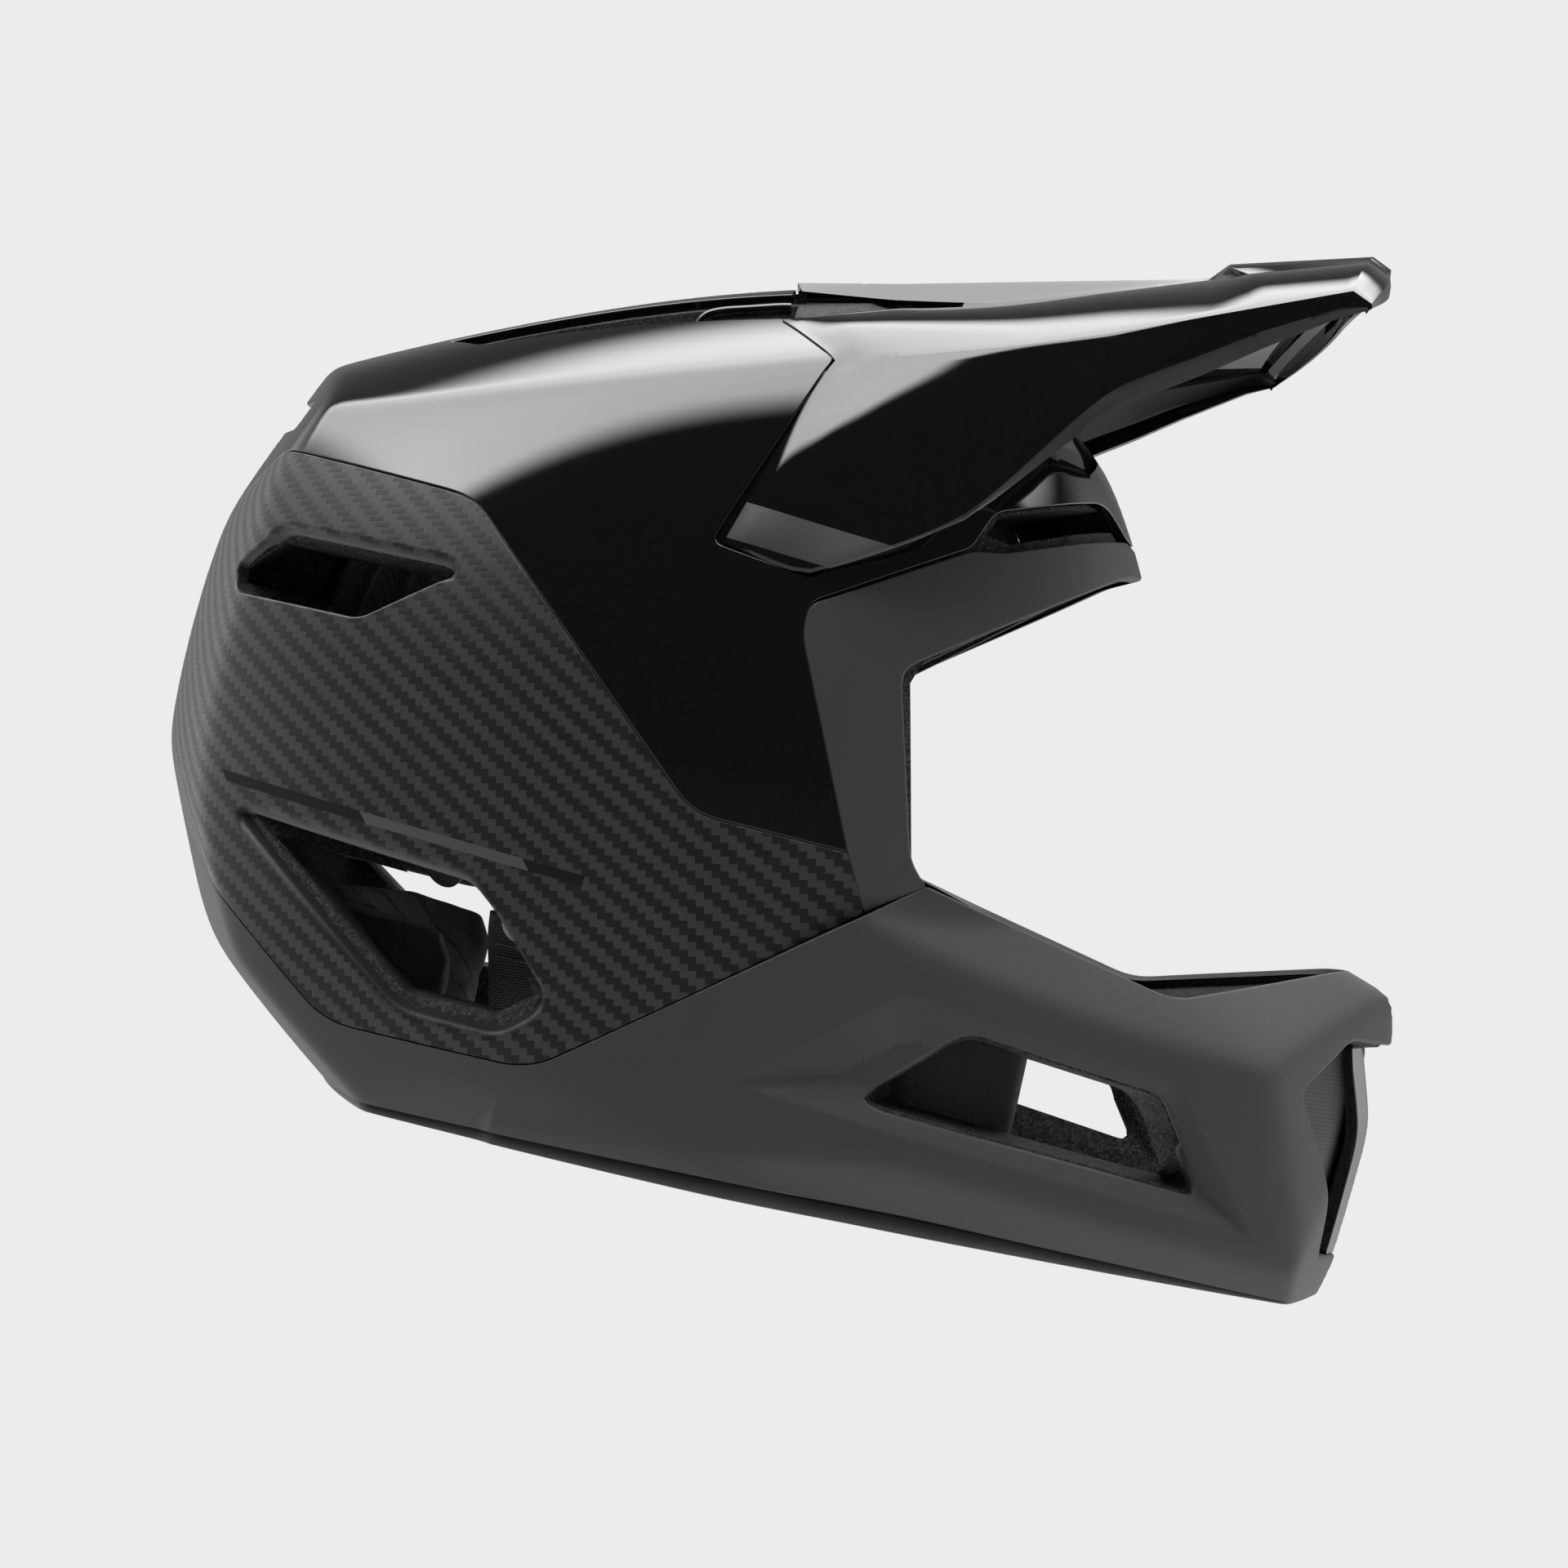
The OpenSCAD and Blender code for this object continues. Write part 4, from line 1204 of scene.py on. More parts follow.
# ------------------------------------------------------------------
# Pads: sewn covers blown up by the cloth solver, then given their seams
# ------------------------------------------------------------------
def pad(name, node, body, voxel, start, cap, groove, smooth=2, pressure=4.0, sub=1):
    src = frame["nodes"][node]
    me = src.data.copy()
    me.transform(src.matrix_world)
    me.materials.clear()
    ob = bpy.data.objects.new(name, me)
    SC.collection.objects.link(ob)
    re = ob.modifiers.new("cells", "REMESH")
    re.mode = "VOXEL"
    re.voxel_size = voxel
    apply_all(ob)
    me = ob.data
    n = len(me.vertices)
    co = np.empty(n * 3)
    me.vertices.foreach_get("co", co)
    co = co.reshape(-1, 3)
    e = np.empty(len(me.edges) * 2, dtype=np.int64)
    me.edges.foreach_get("vertices", e)
    e = e.reshape(-1, 2)
    deg = np.bincount(e.ravel(), minlength=n)[:, None]
    for _ in range(smooth):
        acc = np.zeros_like(co)
        np.add.at(acc, e[:, 0], co[e[:, 1]])
        np.add.at(acc, e[:, 1], co[e[:, 0]])
        co = co * 0.5 + acc / np.maximum(deg, 1) * 0.5
    me.vertices.foreach_set("co", co.ravel())
    me.update()
    nn = np.empty(n * 3)
    me.vertices.foreach_get("normal", nn)
    nn = nn.reshape(-1, 3)
    co = co - nn * start * MM
    me.vertices.foreach_set("co", co.ravel())
    me.update()
    base = co.copy()
    cl = ob.modifiers.new("blow", "CLOTH")
    cs = cl.settings
    cs.quality = 4
    cs.mass = 0.2
    cs.tension_stiffness = cs.compression_stiffness = 12
    cs.shear_stiffness = 6
    cs.bending_stiffness = 0.6
    cs.use_pressure = True
    cs.uniform_pressure_force = pressure
    cs.effector_weights.gravity = 0
    cl.collision_settings.use_collision = False
    cl.point_cache.frame_start = 1
    cl.point_cache.frame_end = 20
    for f in range(1, 21):
        SC.frame_set(f)
    dg = bpy.context.evaluated_depsgraph_get()
    ev = ob.evaluated_get(dg).data
    sim = np.empty(n * 3)
    ev.vertices.foreach_get("co", sim)
    d = sim.reshape(-1, 3) - base
    ob.modifiers.clear()
    SC.frame_set(1)
    ln = np.linalg.norm(d, axis=1, keepdims=True)
    d = d * np.minimum(1, cap * MM / np.maximum(ln, 1e-9))
    me.vertices.foreach_set("co", (base + d).ravel())
    me.update()
    if sub:
        sm = ob.modifiers.new("fine", "SUBSURF")
        sm.levels = sub
        sm.render_levels = sub
        apply_all(ob)
        me = ob.data
        n = len(me.vertices)
    co = np.empty(n * 3)
    me.vertices.foreach_get("co", co)
    co = co.reshape(-1, 3)
    nn = np.empty(n * 3)
    me.vertices.foreach_get("normal", nn)
    nn = nn.reshape(-1, 3)
    g = groove(co / MM, nn)
    # a few soft wrinkles run across the sewn lines
    w = 0.12 * np.sin(co[:, 0] / MM * 0.55 + 2.1 * np.sin(co[:, 2] / MM * 0.21)) * np.sin(co[:, 1] / MM * 0.37 + co[:, 2] / MM * 0.31)
    co = co - nn * ((g + w * np.clip(g, 0.15, 1))[:, None] * MM)
    me.vertices.foreach_set("co", co.ravel())
    me.polygons.foreach_set("use_smooth", [True] * len(me.polygons))
    me.update()
    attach(ob, body)
    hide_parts(node)
    PIECES[name] = ob
    return ob


def line(v, c, width, depth):
    return depth * np.exp(-((v - c) / width) ** 2)


def cast_run(ob, starts, dirs):
    """points on a pad's surface where rays land"""
    P, N = [], []
    for o, d in zip(starts, dirs):
        ok, loc, nor, _ = ob.ray_cast(Vector((np.asarray(o) * MM).tolist()), Vector(np.asarray(d, float).tolist()))
        if ok:
            q = np.array(loc) / MM
            if not P or np.linalg.norm(q - P[-1]) < 9:
                P.append(q)
                N.append(np.array(nor))
    return (np.array(P), np.array(N)) if len(P) > 4 else None


def liner_groove(P, N):
    ay = np.abs(P[:, 1])
    g = np.zeros(len(P))
    top = np.clip((P[:, 2] - 70) / 20, 0, 1)
    for c in (14, 46):
        g = np.maximum(g, line(ay, c, 1.5, 1.5))
    for c in (-112, -66, -18):
        g = np.maximum(g, line(P[:, 0] + 0.18 * ay, c, 1.5, 1.3) * top)
    return g


def cheek_groove(P, N):
    g = np.zeros(len(P))
    for c in (-22, 8, 40):
        g = np.maximum(g, line(P[:, 0] + 0.12 * (P[:, 2] - 50), c, 1.6, 1.5))
    g = np.maximum(g, line(P[:, 2] - 0.18 * P[:, 0], 62, 1.6, 1.2) * (P[:, 0] < 42))
    return g


def brow_groove(P, N):
    ay = np.abs(P[:, 1])
    return np.maximum(line(ay, 17, 1.4, 1.2), line(ay, 38, 1.4, 1.0))


def neck_groove(P, N):
    ay = np.abs(P[:, 1])
    return np.maximum(line(ay, 22, 1.5, 1.3), np.maximum(line(ay, 48, 1.5, 1.3), line(P[:, 2], 33, 1.4, 0.7)))


lining = pad("crown_lining", "comfort_liner", "helmet", 0.0032, 0.9, 1.5, liner_groove)
browp = pad("brow_cushion", "brow_pad", "helmet", 0.003, 0.8, 1.3, brow_groove)
neckp = pad("neck_cushion", "neck_roll", "helmet", 0.0035, 0.9, 1.6, neck_groove)
cheeks = {}
for nm in ("left", "right"):
    cheeks[nm] = pad("cheek_cushion_" + nm, "cheek_pad_" + nm, "cheek_" + nm, 0.0036, 1.0, 1.2, cheek_groove)
bpy.context.view_layer.update()

runs = []
for y0 in (14, -14, 46, -46):
    for off in (2.6, -2.6):
        th = np.radians(np.arange(-20, 200, 0.8))
        yy = y0 + off
        r = cast_run(lining, [(-50, yy, 118)] * len(th), [(math.cos(a), 0, math.sin(a)) for a in th])
        if r:
            runs.append(r)
stitches("lining_stitches", runs, "helmet")
runs = []
for y0 in (17, -17):
    for off in (2.2, -2.2):
        zz = np.arange(150, 212, 0.8)
        r = cast_run(browp, [(0, y0 + off, z - 8) for z in zz], [(0.97, 0, 0.24)] * len(zz))
        if r:
            runs.append(r)
for y0 in (22, -22, 48, -48):
    for off in (2.2, -2.2):
        zz = np.arange(10, 60, 0.8)
        r = cast_run(neckp, [(-60, y0 + off, z) for z in zz], [(-1, 0, 0)] * len(zz))
        if r:
            runs.append(r)
stitches("pad_stitches", runs, "helmet")
for nm, s in (("left", 1), ("right", -1)):
    runs = []
    for x0 in (-22, 8, 40):
        for off in (2.4, -2.4):
            zz = np.arange(8, 120, 0.9)
            r = cast_run(cheeks[nm], [(x0 + off - 0.12 * (z - 50), 0, z) for z in zz], [(0, s, 0)] * len(zz))
            if r:
                runs.append(r)
    stitches("cheek_stitches_" + nm, runs, "cheek_" + nm)


# ------------------------------------------------------------------
# Visor screw: low round head with a hex socket, flush on the rib
# ------------------------------------------------------------------
seg = 48
th = np.linspace(0, 2 * math.pi, seg, endpoint=False)
hexr = 1.55 / np.cos((th + math.pi / 6) % (math.pi / 3) - math.pi / 6)
rings = [(np.full(seg, r), z) for r, z in [(0.8, -13.2), (1.8, -13.2), (2.1, -12.8), (2.1, -0.35), (4.1, -0.35), (4.3, -0.15), (4.3, 0.25), (4.0, 0.55), (3.2, 0.78), (2.3, 0.85)]]
rings += [(hexr * 1.08, 0.85), (hexr, 0.75), (hexr, -0.9), (hexr * 0.2, -1.1)]
V = np.vstack([np.stack([r * np.cos(th), r * np.sin(th), np.full(seg, z)], 1) for r, z in rings])
t = math.radians(12.3)
R = np.array([[math.cos(t), 0, -math.sin(t)], [0, 1, 0], [math.sin(t), 0, math.cos(t)]])
V = V @ R.T + arr(*SCREW_AT) - R @ arr(0, 0, 0.6)
F = [(i * seg + j, i * seg + (j + 1) % seg, (i + 1) * seg + (j + 1) % seg, (i + 1) * seg + j) for i in range(len(rings) - 1) for j in range(seg)]
F += [tuple(range(seg))[::-1], tuple((len(rings) - 1) * seg + j for j in range(seg))]
screw = mesh_object("rib_screw", V, F)
closed_up(screw)
screw.data.set_sharp_from_angle(angle=math.radians(32))
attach(screw, "screw_body")
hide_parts("visor_screw")
PIECES["rib_screw"] = screw


# ------------------------------------------------------------------
# Materials
# ------------------------------------------------------------------
class Mat:
    def __init__(self, name):
        self.m = bpy.data.materials.new(name)
        self.m.use_nodes = True
        self.t = self.m.node_tree
        self.b = self.t.nodes["Principled BSDF"]
        self.tc = self.n("ShaderNodeTexCoord")

    def n(self, kind, **props):
        x = self.t.nodes.new(kind)
        for k, v in props.items():
            setattr(x, k, v)
        return x

    def link(self, a, b):
        self.t.links.new(a, b)
        return b

    def val(self, sock, v):
        if hasattr(v, "links") or isinstance(v, bpy.types.NodeSocket):
            self.t.links.new(v, sock)
        else:
            sock.default_value = v

    def obj(self):
        return self.tc.outputs["Object"]

    def math(self, op, a, b=0.0, c=None, clamp=False):
        x = self.n("ShaderNodeMath", operation=op, use_clamp=clamp)
        self.val(x.inputs[0], a)
        self.val(x.inputs[1], b)
        if c is not None:
            self.val(x.inputs[2], c)
        return x.outputs[0]

    def xyz(self, v=None):
        x = self.n("ShaderNodeSeparateXYZ")
        self.link(v or self.obj(), x.inputs[0])
        return x.outputs

    def noise(self, scale, detail=3, rough=0.5, vec=None, dist=0.0):
        x = self.n("ShaderNodeTexNoise")
        x.inputs["Scale"].default_value = scale
        x.inputs["Detail"].default_value = detail
        x.inputs["Roughness"].default_value = rough
        x.inputs["Distortion"].default_value = dist
        self.link(vec or self.obj(), x.inputs["Vector"])
        return x.outputs["Fac"]

    def voronoi(self, scale, feature="F1", out="Distance", vec=None, rand=1.0):
        x = self.n("ShaderNodeTexVoronoi", feature=feature)
        x.inputs["Scale"].default_value = scale
        x.inputs["Randomness"].default_value = rand
        self.link(vec or self.obj(), x.inputs["Vector"])
        return x.outputs[out]

    def remap(self, v, a, b, c, d):
        x = self.n("ShaderNodeMapRange")
        self.val(x.inputs["Value"], v)
        x.inputs["From Min"].default_value = a
        x.inputs["From Max"].default_value = b
        x.inputs["To Min"].default_value = c
        x.inputs["To Max"].default_value = d
        return x.outputs[0]

    def mix(self, f, a, b):
        x = self.n("ShaderNodeMix", data_type="RGBA")
        self.val(x.inputs[0], f)
        self.val(x.inputs[6], a if not isinstance(a, tuple) else (*a, 1)[:4])
        self.val(x.inputs[7], b if not isinstance(b, tuple) else (*b, 1)[:4])
        return x.outputs[2]

    def bump(self, h, strength, dist, normal=None):
        x = self.n("ShaderNodeBump")
        x.inputs["Strength"].default_value = strength
        x.inputs["Distance"].default_value = dist
        self.link(h, x.inputs["Height"])
        if normal is not None:
            self.link(normal, x.inputs["Normal"])
        return x.outputs[0]

    def out(self, color=None, rough=None, bump=None, **k):
        names = {"metal": "Metallic", "spec": "Specular IOR Level", "coat": "Coat Weight", "coat_rough": "Coat Roughness",
                 "sheen": "Sheen Weight", "sheen_rough": "Sheen Roughness", "ior": "IOR", "coat_ior": "Coat IOR"}
        if color is not None:
            self.val(self.b.inputs["Base Color"], color if not isinstance(color, tuple) else (*color, 1)[:4])
        if rough is not None:
            self.val(self.b.inputs["Roughness"], rough)
        if bump is not None:
            self.link(bump, self.b.inputs["Normal"])
        for a, v in k.items():
            self.val(self.b.inputs[names[a]], v)
        return self.m


def lighter_sharp_edges(m, lo=0.53, hi=0.62):
    # lighter colour on sharp convex edges, found by pointiness
    g = m.n("ShaderNodeNewGeometry")
    return m.remap(g.outputs["Pointiness"], lo, hi, 0, 1)


def gloss_black():
    m = Mat("gloss_black")
    dust = m.noise(900, 2, 0.7)
    swirl = m.noise(14, 3, 0.5)
    col = m.mix(m.remap(dust, 0.35, 0.75, 0, 1), (0.0035, 0.0035, 0.0038), (0.0065, 0.0065, 0.007))
    rough = m.remap(m.math("ADD", m.math("MULTIPLY", dust, 0.5), swirl), 0.5, 1.0, 0.025, 0.06)
    bump = m.bump(m.noise(60, 2, 0.4), 0.02, 0.0002)
    return m.out(col, rough, bump, spec=0.5, coat=0.0, ior=1.5)


def visor_black():
    """the gloss black of the visor, with the plain satin band at its rear lower corner"""
    m = Mat("visor_black")
    x, y, z = m.xyz()
    dust = m.noise(900, 2, 0.7)
    swirl = m.noise(14, 3, 0.5)
    # band between two lines in the side view: z = k x + c
    up = m.math("SUBTRACT", z, m.math("MULTIPLY_ADD", x, BAND[0], BAND[1]))
    dn = m.math("SUBTRACT", z, m.math("MULTIPLY_ADD", x, BAND[2], BAND[3]))
    side = m.math("GREATER_THAN", m.math("ABSOLUTE", y), 0.09)
    band = m.math("MULTIPLY", m.math("MULTIPLY", m.math("LESS_THAN", up, 0.0), m.math("GREATER_THAN", dn, 0.0)), side)
    col = m.mix(m.remap(dust, 0.35, 0.75, 0, 1), (0.0035, 0.0035, 0.0038), (0.0065, 0.0065, 0.007))
    col = m.mix(band, col, m.mix(m.noise(700, 3, 0.6), (0.030, 0.030, 0.031), (0.045, 0.045, 0.046)))
    rough = m.remap(m.math("ADD", m.math("MULTIPLY", dust, 0.5), swirl), 0.5, 1.0, 0.025, 0.06)
    rough = m.math("ADD", rough, m.math("MULTIPLY", band, 0.42))
    bump = m.bump(m.noise(60, 2, 0.4), 0.02, 0.0002)
    return m.out(col, rough, bump, spec=0.5, ior=1.5)


def carbon():
    m = Mat("carbon_weave")
    x, y, z = m.xyz()
    # wrapped round a standing cylinder, so that the cells keep their size; the rows rise 13 degrees towards the front
    ang = m.math("ARCTAN2", m.math("ABSOLUTE", y), m.math("ADD", x, 0.062))
    arc = m.math("MULTIPLY", ang, -0.108)
    c13, s13 = math.cos(math.radians(13)), math.sin(math.radians(13))
    u = m.math("MULTIPLY_ADD", arc, c13 / 0.00205, m.math("MULTIPLY", z, s13 / 0.00205))
    v = m.math("MULTIPLY_ADD", arc, -s13 / 0.0019, m.math("MULTIPLY", z, c13 / 0.0019))
    fu, fv = m.math("FLOOR", u), m.math("FLOOR", v)
    s = m.math("FLOORED_MODULO", m.math("ADD", fv, fu), 4.0)
    warp = m.math("LESS_THAN", s, 1.9)
    lu, lv = m.math("FRACT", u), m.math("FRACT", v)
    # each tow is a few fine fibres with a rounded section
    cu = m.math("SUBTRACT", 1.0, m.math("POWER", m.math("ABSOLUTE", m.math("MULTIPLY_ADD", lu, 2.0, -1.0)), 2.5))
    cv = m.math("SUBTRACT", 1.0, m.math("POWER", m.math("ABSOLUTE", m.math("MULTIPLY_ADD", lv, 2.0, -1.0)), 2.5))
    tow = m.math("ADD", m.math("MULTIPLY", warp, cu), m.math("MULTIPLY", m.math("SUBTRACT", 1.0, warp), cv))
    fib = m.math("ADD", m.math("MULTIPLY", warp, m.math("SINE", m.math("MULTIPLY", lu, 44.0))),
                 m.math("MULTIPLY", m.math("SUBTRACT", 1.0, warp), m.math("SINE", m.math("MULTIPLY", lv, 44.0))))
    n1 = m.noise(26, 3, 0.5)
    dark = m.mix(n1, (0.0055, 0.0055, 0.0057), (0.0085, 0.0085, 0.0088))
    light = m.mix(n1, (0.032, 0.032, 0.033), (0.041, 0.041, 0.042))
    col = m.mix(warp, dark, light)
    # the two-tone line along the side: black, grey, black
    dz = m.math("SUBTRACT", z, m.math("MULTIPLY_ADD", x, STRIPE[0], STRIPE[1]))
    on = m.math("LESS_THAN", m.math("ABSOLUTE", dz), 0.0014)
    on = m.math("MULTIPLY", on, m.math("GREATER_THAN", m.math("ADD", x, m.math("MULTIPLY", dz, 0.9)), STRIPE[2]))
    on = m.math("MULTIPLY", on, m.math("LESS_THAN", m.math("ADD", x, m.math("MULTIPLY", dz, 0.0)), STRIPE[5]))
    grey = m.math("MULTIPLY", m.math("GREATER_THAN", m.math("ADD", x, m.math("MULTIPLY", dz, 0.9)), STRIPE[3]), m.math("LESS_THAN", m.math("ADD", x, m.math("MULTIPLY", dz, 0.9)), STRIPE[4]))
    mark = m.mix(grey, (0.0012, 0.0012, 0.0012), (0.066, 0.066, 0.067))
    col = m.mix(on, col, mark)
    # on the rolled edges of the vents the weave ends; their slightly grainy colour is painted shade where the rolled
    # edge faces up and painted light where it faces down
    lip = m.remap(m.n("ShaderNodeAttribute", attribute_name="lip").outputs["Fac"], 0.02, 0.3, 0, 1)
    under = m.remap(m.n("ShaderNodeAttribute", attribute_name="under").outputs["Fac"], 0.25, 0.8, 0, 1)
    grain = m.noise(1500, 2, 0.6)
    roll = m.mix(under, m.mix(grain, (0.003, 0.003, 0.003), (0.010, 0.010, 0.010)), m.mix(grain, (0.06, 0.06, 0.061), (0.13, 0.13, 0.132)))
    col = m.mix(lip, col, roll)
    h = m.math("ADD", m.math("MULTIPLY", tow, 0.8), m.math("MULTIPLY", fib, 0.08))
    h = m.math("MULTIPLY", h, m.math("SUBTRACT", 1.0, m.math("MAXIMUM", on, lip)))
    bump = m.bump(h, 0.22, 0.00012)
    bump = m.bump(m.noise(1800, 2, 0.6), 0.06, 0.00005, bump)
    rough = m.math("ADD", m.remap(m.noise(420, 2, 0.6), 0.3, 0.7, 0.40, 0.5), m.math("MULTIPLY", warp, -0.04))
    mat_part = m.math("MAXIMUM", m.math("SUBTRACT", on, m.math("MULTIPLY", on, grey)), lip)
    rough = m.math("MAXIMUM", rough, m.math("MULTIPLY", mat_part, 0.9))
    return m.out(col, rough, bump, spec=0.26)


def matt_grey():
    m = Mat("matt_grey")
    g = m.noise(1500, 2, 0.6)
    n2 = m.noise(9, 4, 0.55)
    col = m.mix(m.remap(n2, 0.3, 0.7, 0, 1), (0.040, 0.040, 0.041), (0.046, 0.046, 0.047))
    col = m.mix(m.math("MULTIPLY", lighter_sharp_edges(m), 0.35), col, (0.10, 0.10, 0.10))
    rough = m.remap(g, 0.3, 0.7, 0.52, 0.62)
    bump = m.bump(g, 0.10, 0.00006)
    return m.out(col, rough, bump, spec=0.25)


def bead_foam():
    m = Mat("bead_foam")
    v = m.voronoi(1150, "DISTANCE_TO_EDGE", "Distance")
    cell = m.voronoi(1150, "F1", "Color")
    s = m.n("ShaderNodeSeparateColor")
    m.link(cell, s.inputs[0])
    fine = m.noise(2600, 3, 0.7)
    tone = m.math("ADD", m.math("MULTIPLY", s.outputs[0], 0.55), m.math("MULTIPLY", fine, 0.45))
    col = m.mix(m.remap(tone, 0.25, 0.85, 0, 1), (0.008, 0.008, 0.0083), (0.075, 0.075, 0.077))
    col = m.mix(m.remap(v, 0.0, 0.12, 1, 0), col, (0.006, 0.006, 0.006))
    h = m.math("ADD", m.remap(v, 0, 0.25, 0, 1), m.math("MULTIPLY", fine, 0.8))
    return m.out(col, m.remap(fine, 0.3, 0.7, 0.62, 0.85), m.bump(h, 0.7, 0.0004), spec=0.25)


def knit(name="liner_fabric", c1=(0.010, 0.010, 0.011), c2=(0.030, 0.030, 0.032)):
    m = Mat(name)
    x, y, z = m.xyz()
    # fine jersey: rows of small loops
    a = m.math("MULTIPLY", m.math("ADD", x, y), 1 / 0.0009)
    b = m.math("MULTIPLY", m.math("ADD", z, m.math("MULTIPLY", y, 0.35)), 1 / 0.0012)
    wv = m.math("MULTIPLY", m.math("ABSOLUTE", m.math("SINE", m.math("MULTIPLY", a, math.pi))), m.math("ABSOLUTE", m.math("SINE", m.math("ADD", m.math("MULTIPLY", b, math.pi), m.math("SINE", m.math("MULTIPLY", a, math.pi))))))
    fuzz = m.noise(3200, 3, 0.7)
    h = m.math("ADD", wv, m.math("MULTIPLY", fuzz, 0.5))
    col = m.mix(m.remap(h, 0.2, 1.3, 0, 1), c1, c2)
    col = m.mix(m.math("MULTIPLY", m.remap(m.noise(35, 4, 0.6), 0.45, 0.75, 0, 1), 0.4), col, (0.042, 0.042, 0.044))
    return m.out(col, 0.9, m.bump(h, 0.5, 0.0005), spec=0.15, sheen=0.25, sheen_rough=0.5)


def rubber(name, c, c2):
    m = Mat(name)
    g = m.noise(700, 3, 0.6)
    col = m.mix(m.remap(m.noise(40, 4, 0.6), 0.35, 0.7, 0, 1), c, c2)
    col = m.mix(m.math("MULTIPLY", lighter_sharp_edges(m), 0.4), col, tuple(3 * v for v in c2))
    return m.out(col, m.remap(g, 0.3, 0.7, 0.45, 0.65), m.bump(g, 0.15, 0.0001), spec=0.35)


def plastic(name, c, c2, r=(0.32, 0.45), scale=1300):
    m = Mat(name)
    g = m.voronoi(scale, "F1", "Distance")
    col = m.mix(m.remap(m.noise(60, 4, 0.6), 0.35, 0.7, 0, 1), c, c2)
    col = m.mix(m.math("MULTIPLY", lighter_sharp_edges(m), 0.5), col, tuple(min(1, 2.5 * v) for v in c2))
    return m.out(col, m.remap(g, 0.1, 0.7, r[0], r[1]), m.bump(g, 0.12, 0.00008), spec=0.4)


def steel():
    m = Mat("steel")
    x, y, z = m.xyz()
    st = m.n("ShaderNodeMapping")
    st.inputs["Scale"].default_value = (900, 900, 60)
    m.link(m.obj(), st.inputs[0])
    g = m.noise(1, 4, 0.7, st.outputs[0])
    col = m.mix(m.noise(200, 3, 0.6), (0.42, 0.42, 0.44), (0.62, 0.62, 0.63))
    return m.out(col, m.remap(g, 0.3, 0.7, 0.22, 0.42), m.bump(g, 0.12, 0.00005), metal=1.0)


def webbing():
    m = Mat("webbing")
    uv = m.tc.outputs["UV"]
    s = m.n("ShaderNodeSeparateXYZ")
    m.link(uv, s.inputs[0])
    u, v = s.outputs[0], s.outputs[1]
    rib = m.math("SINE", m.math("MULTIPLY", v, 2 * math.pi * 900))
    tw = m.math("SINE", m.math("MULTIPLY", m.math("ADD", u, m.math("MULTIPLY", v, 0.6)), 2 * math.pi * 640))
    h = m.math("ADD", m.math("MULTIPLY", rib, 0.5), m.math("MULTIPLY", tw, 0.35))
    fz = m.noise(2800, 3, 0.7)
    h = m.math("ADD", h, m.math("MULTIPLY", fz, 0.6))
    col = m.mix(m.remap(h, -0.7, 1.2, 0, 1), (0.006, 0.006, 0.0065), (0.028, 0.028, 0.029))
    edge = m.math("GREATER_THAN", m.math("ABSOLUTE", u), 0.0084)
    col = m.mix(m.math("MULTIPLY", edge, 0.6), col, (0.03, 0.03, 0.031))
    return m.out(col, 0.72, m.bump(h, 0.6, 0.0004), spec=0.3, sheen=0.15)


def red_line():
    m = Mat("seam_red")
    g = m.noise(500, 3, 0.6)
    return m.out(m.mix(g, (0.055, 0.006, 0.006), (0.12, 0.014, 0.012)), m.remap(g, 0.3, 0.7, 0.3, 0.45), m.bump(g, 0.1, 0.0001))


BAND = (-0.0729, 0.1809, -0.0634, 0.1704)
STRIPE = (-0.048, 0.0725, -0.156, -0.114, -0.068, -0.052)
M = {
    "gloss_black": gloss_black(), "visor_black": visor_black(), "carbon_weave": carbon(), "matt_grey": matt_grey(),
    "bead_foam": bead_foam(), "liner_fabric": knit(), "black_plastic": plastic("black_plastic", (0.008, 0.008, 0.0085), (0.016, 0.016, 0.017)),
    "damper_rubber": rubber("damper_rubber", (0.06, 0.06, 0.066), (0.09, 0.09, 0.098)), "steel": steel(),
    "rim_rubber": rubber("rim_rubber", (0.022, 0.022, 0.022), (0.032, 0.032, 0.032)), "webbing": webbing(),
    "release_red": plastic("release_red", (0.25, 0.012, 0.01), (0.36, 0.02, 0.016)), "seam_red": red_line(),
}


def paint(ob, mat):
    ob.data.materials.clear()
    ob.data.materials.append(M[mat])


def painted_edge_highlight():
    # a lighter grey for the visor's bevelled rim: a painted highlight standing in for the light its edges catch
    m = Mat("painted_edge_highlight")
    g = m.noise(260, 4, 0.6)
    col = m.mix(m.remap(g, 0.35, 0.7, 0, 1), (0.16, 0.16, 0.165), (0.34, 0.34, 0.345))
    return m.out(col, m.remap(g, 0.3, 0.7, 0.25, 0.4), m.bump(m.noise(1200, 2, 0.5), 0.1, 0.00004), spec=0.6)


def bar_black():
    m = Mat("bar_black")
    dust = m.noise(900, 2, 0.7)
    col = m.mix(dust, (0.004, 0.004, 0.0043), (0.008, 0.008, 0.0085))
    return m.out(col, m.remap(dust, 0.3, 0.8, 0.04, 0.09), m.bump(m.noise(60, 2, 0.4), 0.02, 0.0002), spec=1.0, ior=1.75)


def fine_mesh():
    m = Mat("fine_mesh")
    x, y, z = m.xyz()
    wy = m.math("ABSOLUTE", m.math("SINE", m.math("MULTIPLY", y, math.pi / 0.0011)))
    wz = m.math("ABSOLUTE", m.math("SINE", m.math("MULTIPLY", z, math.pi / 0.0011)))
    h = m.math("MULTIPLY", wy, wz)
    # the dark cell centres are painted shade, standing in for the hollow seen through the mesh's openings; the
    # lighter lines between them are the wires
    col = m.mix(m.remap(h, 0.25, 0.55, 0, 1), (0.036, 0.036, 0.037), (0.010, 0.010, 0.010))
    return m.out(col, 0.55, m.bump(h, -0.5, 0.0003), spec=0.3)


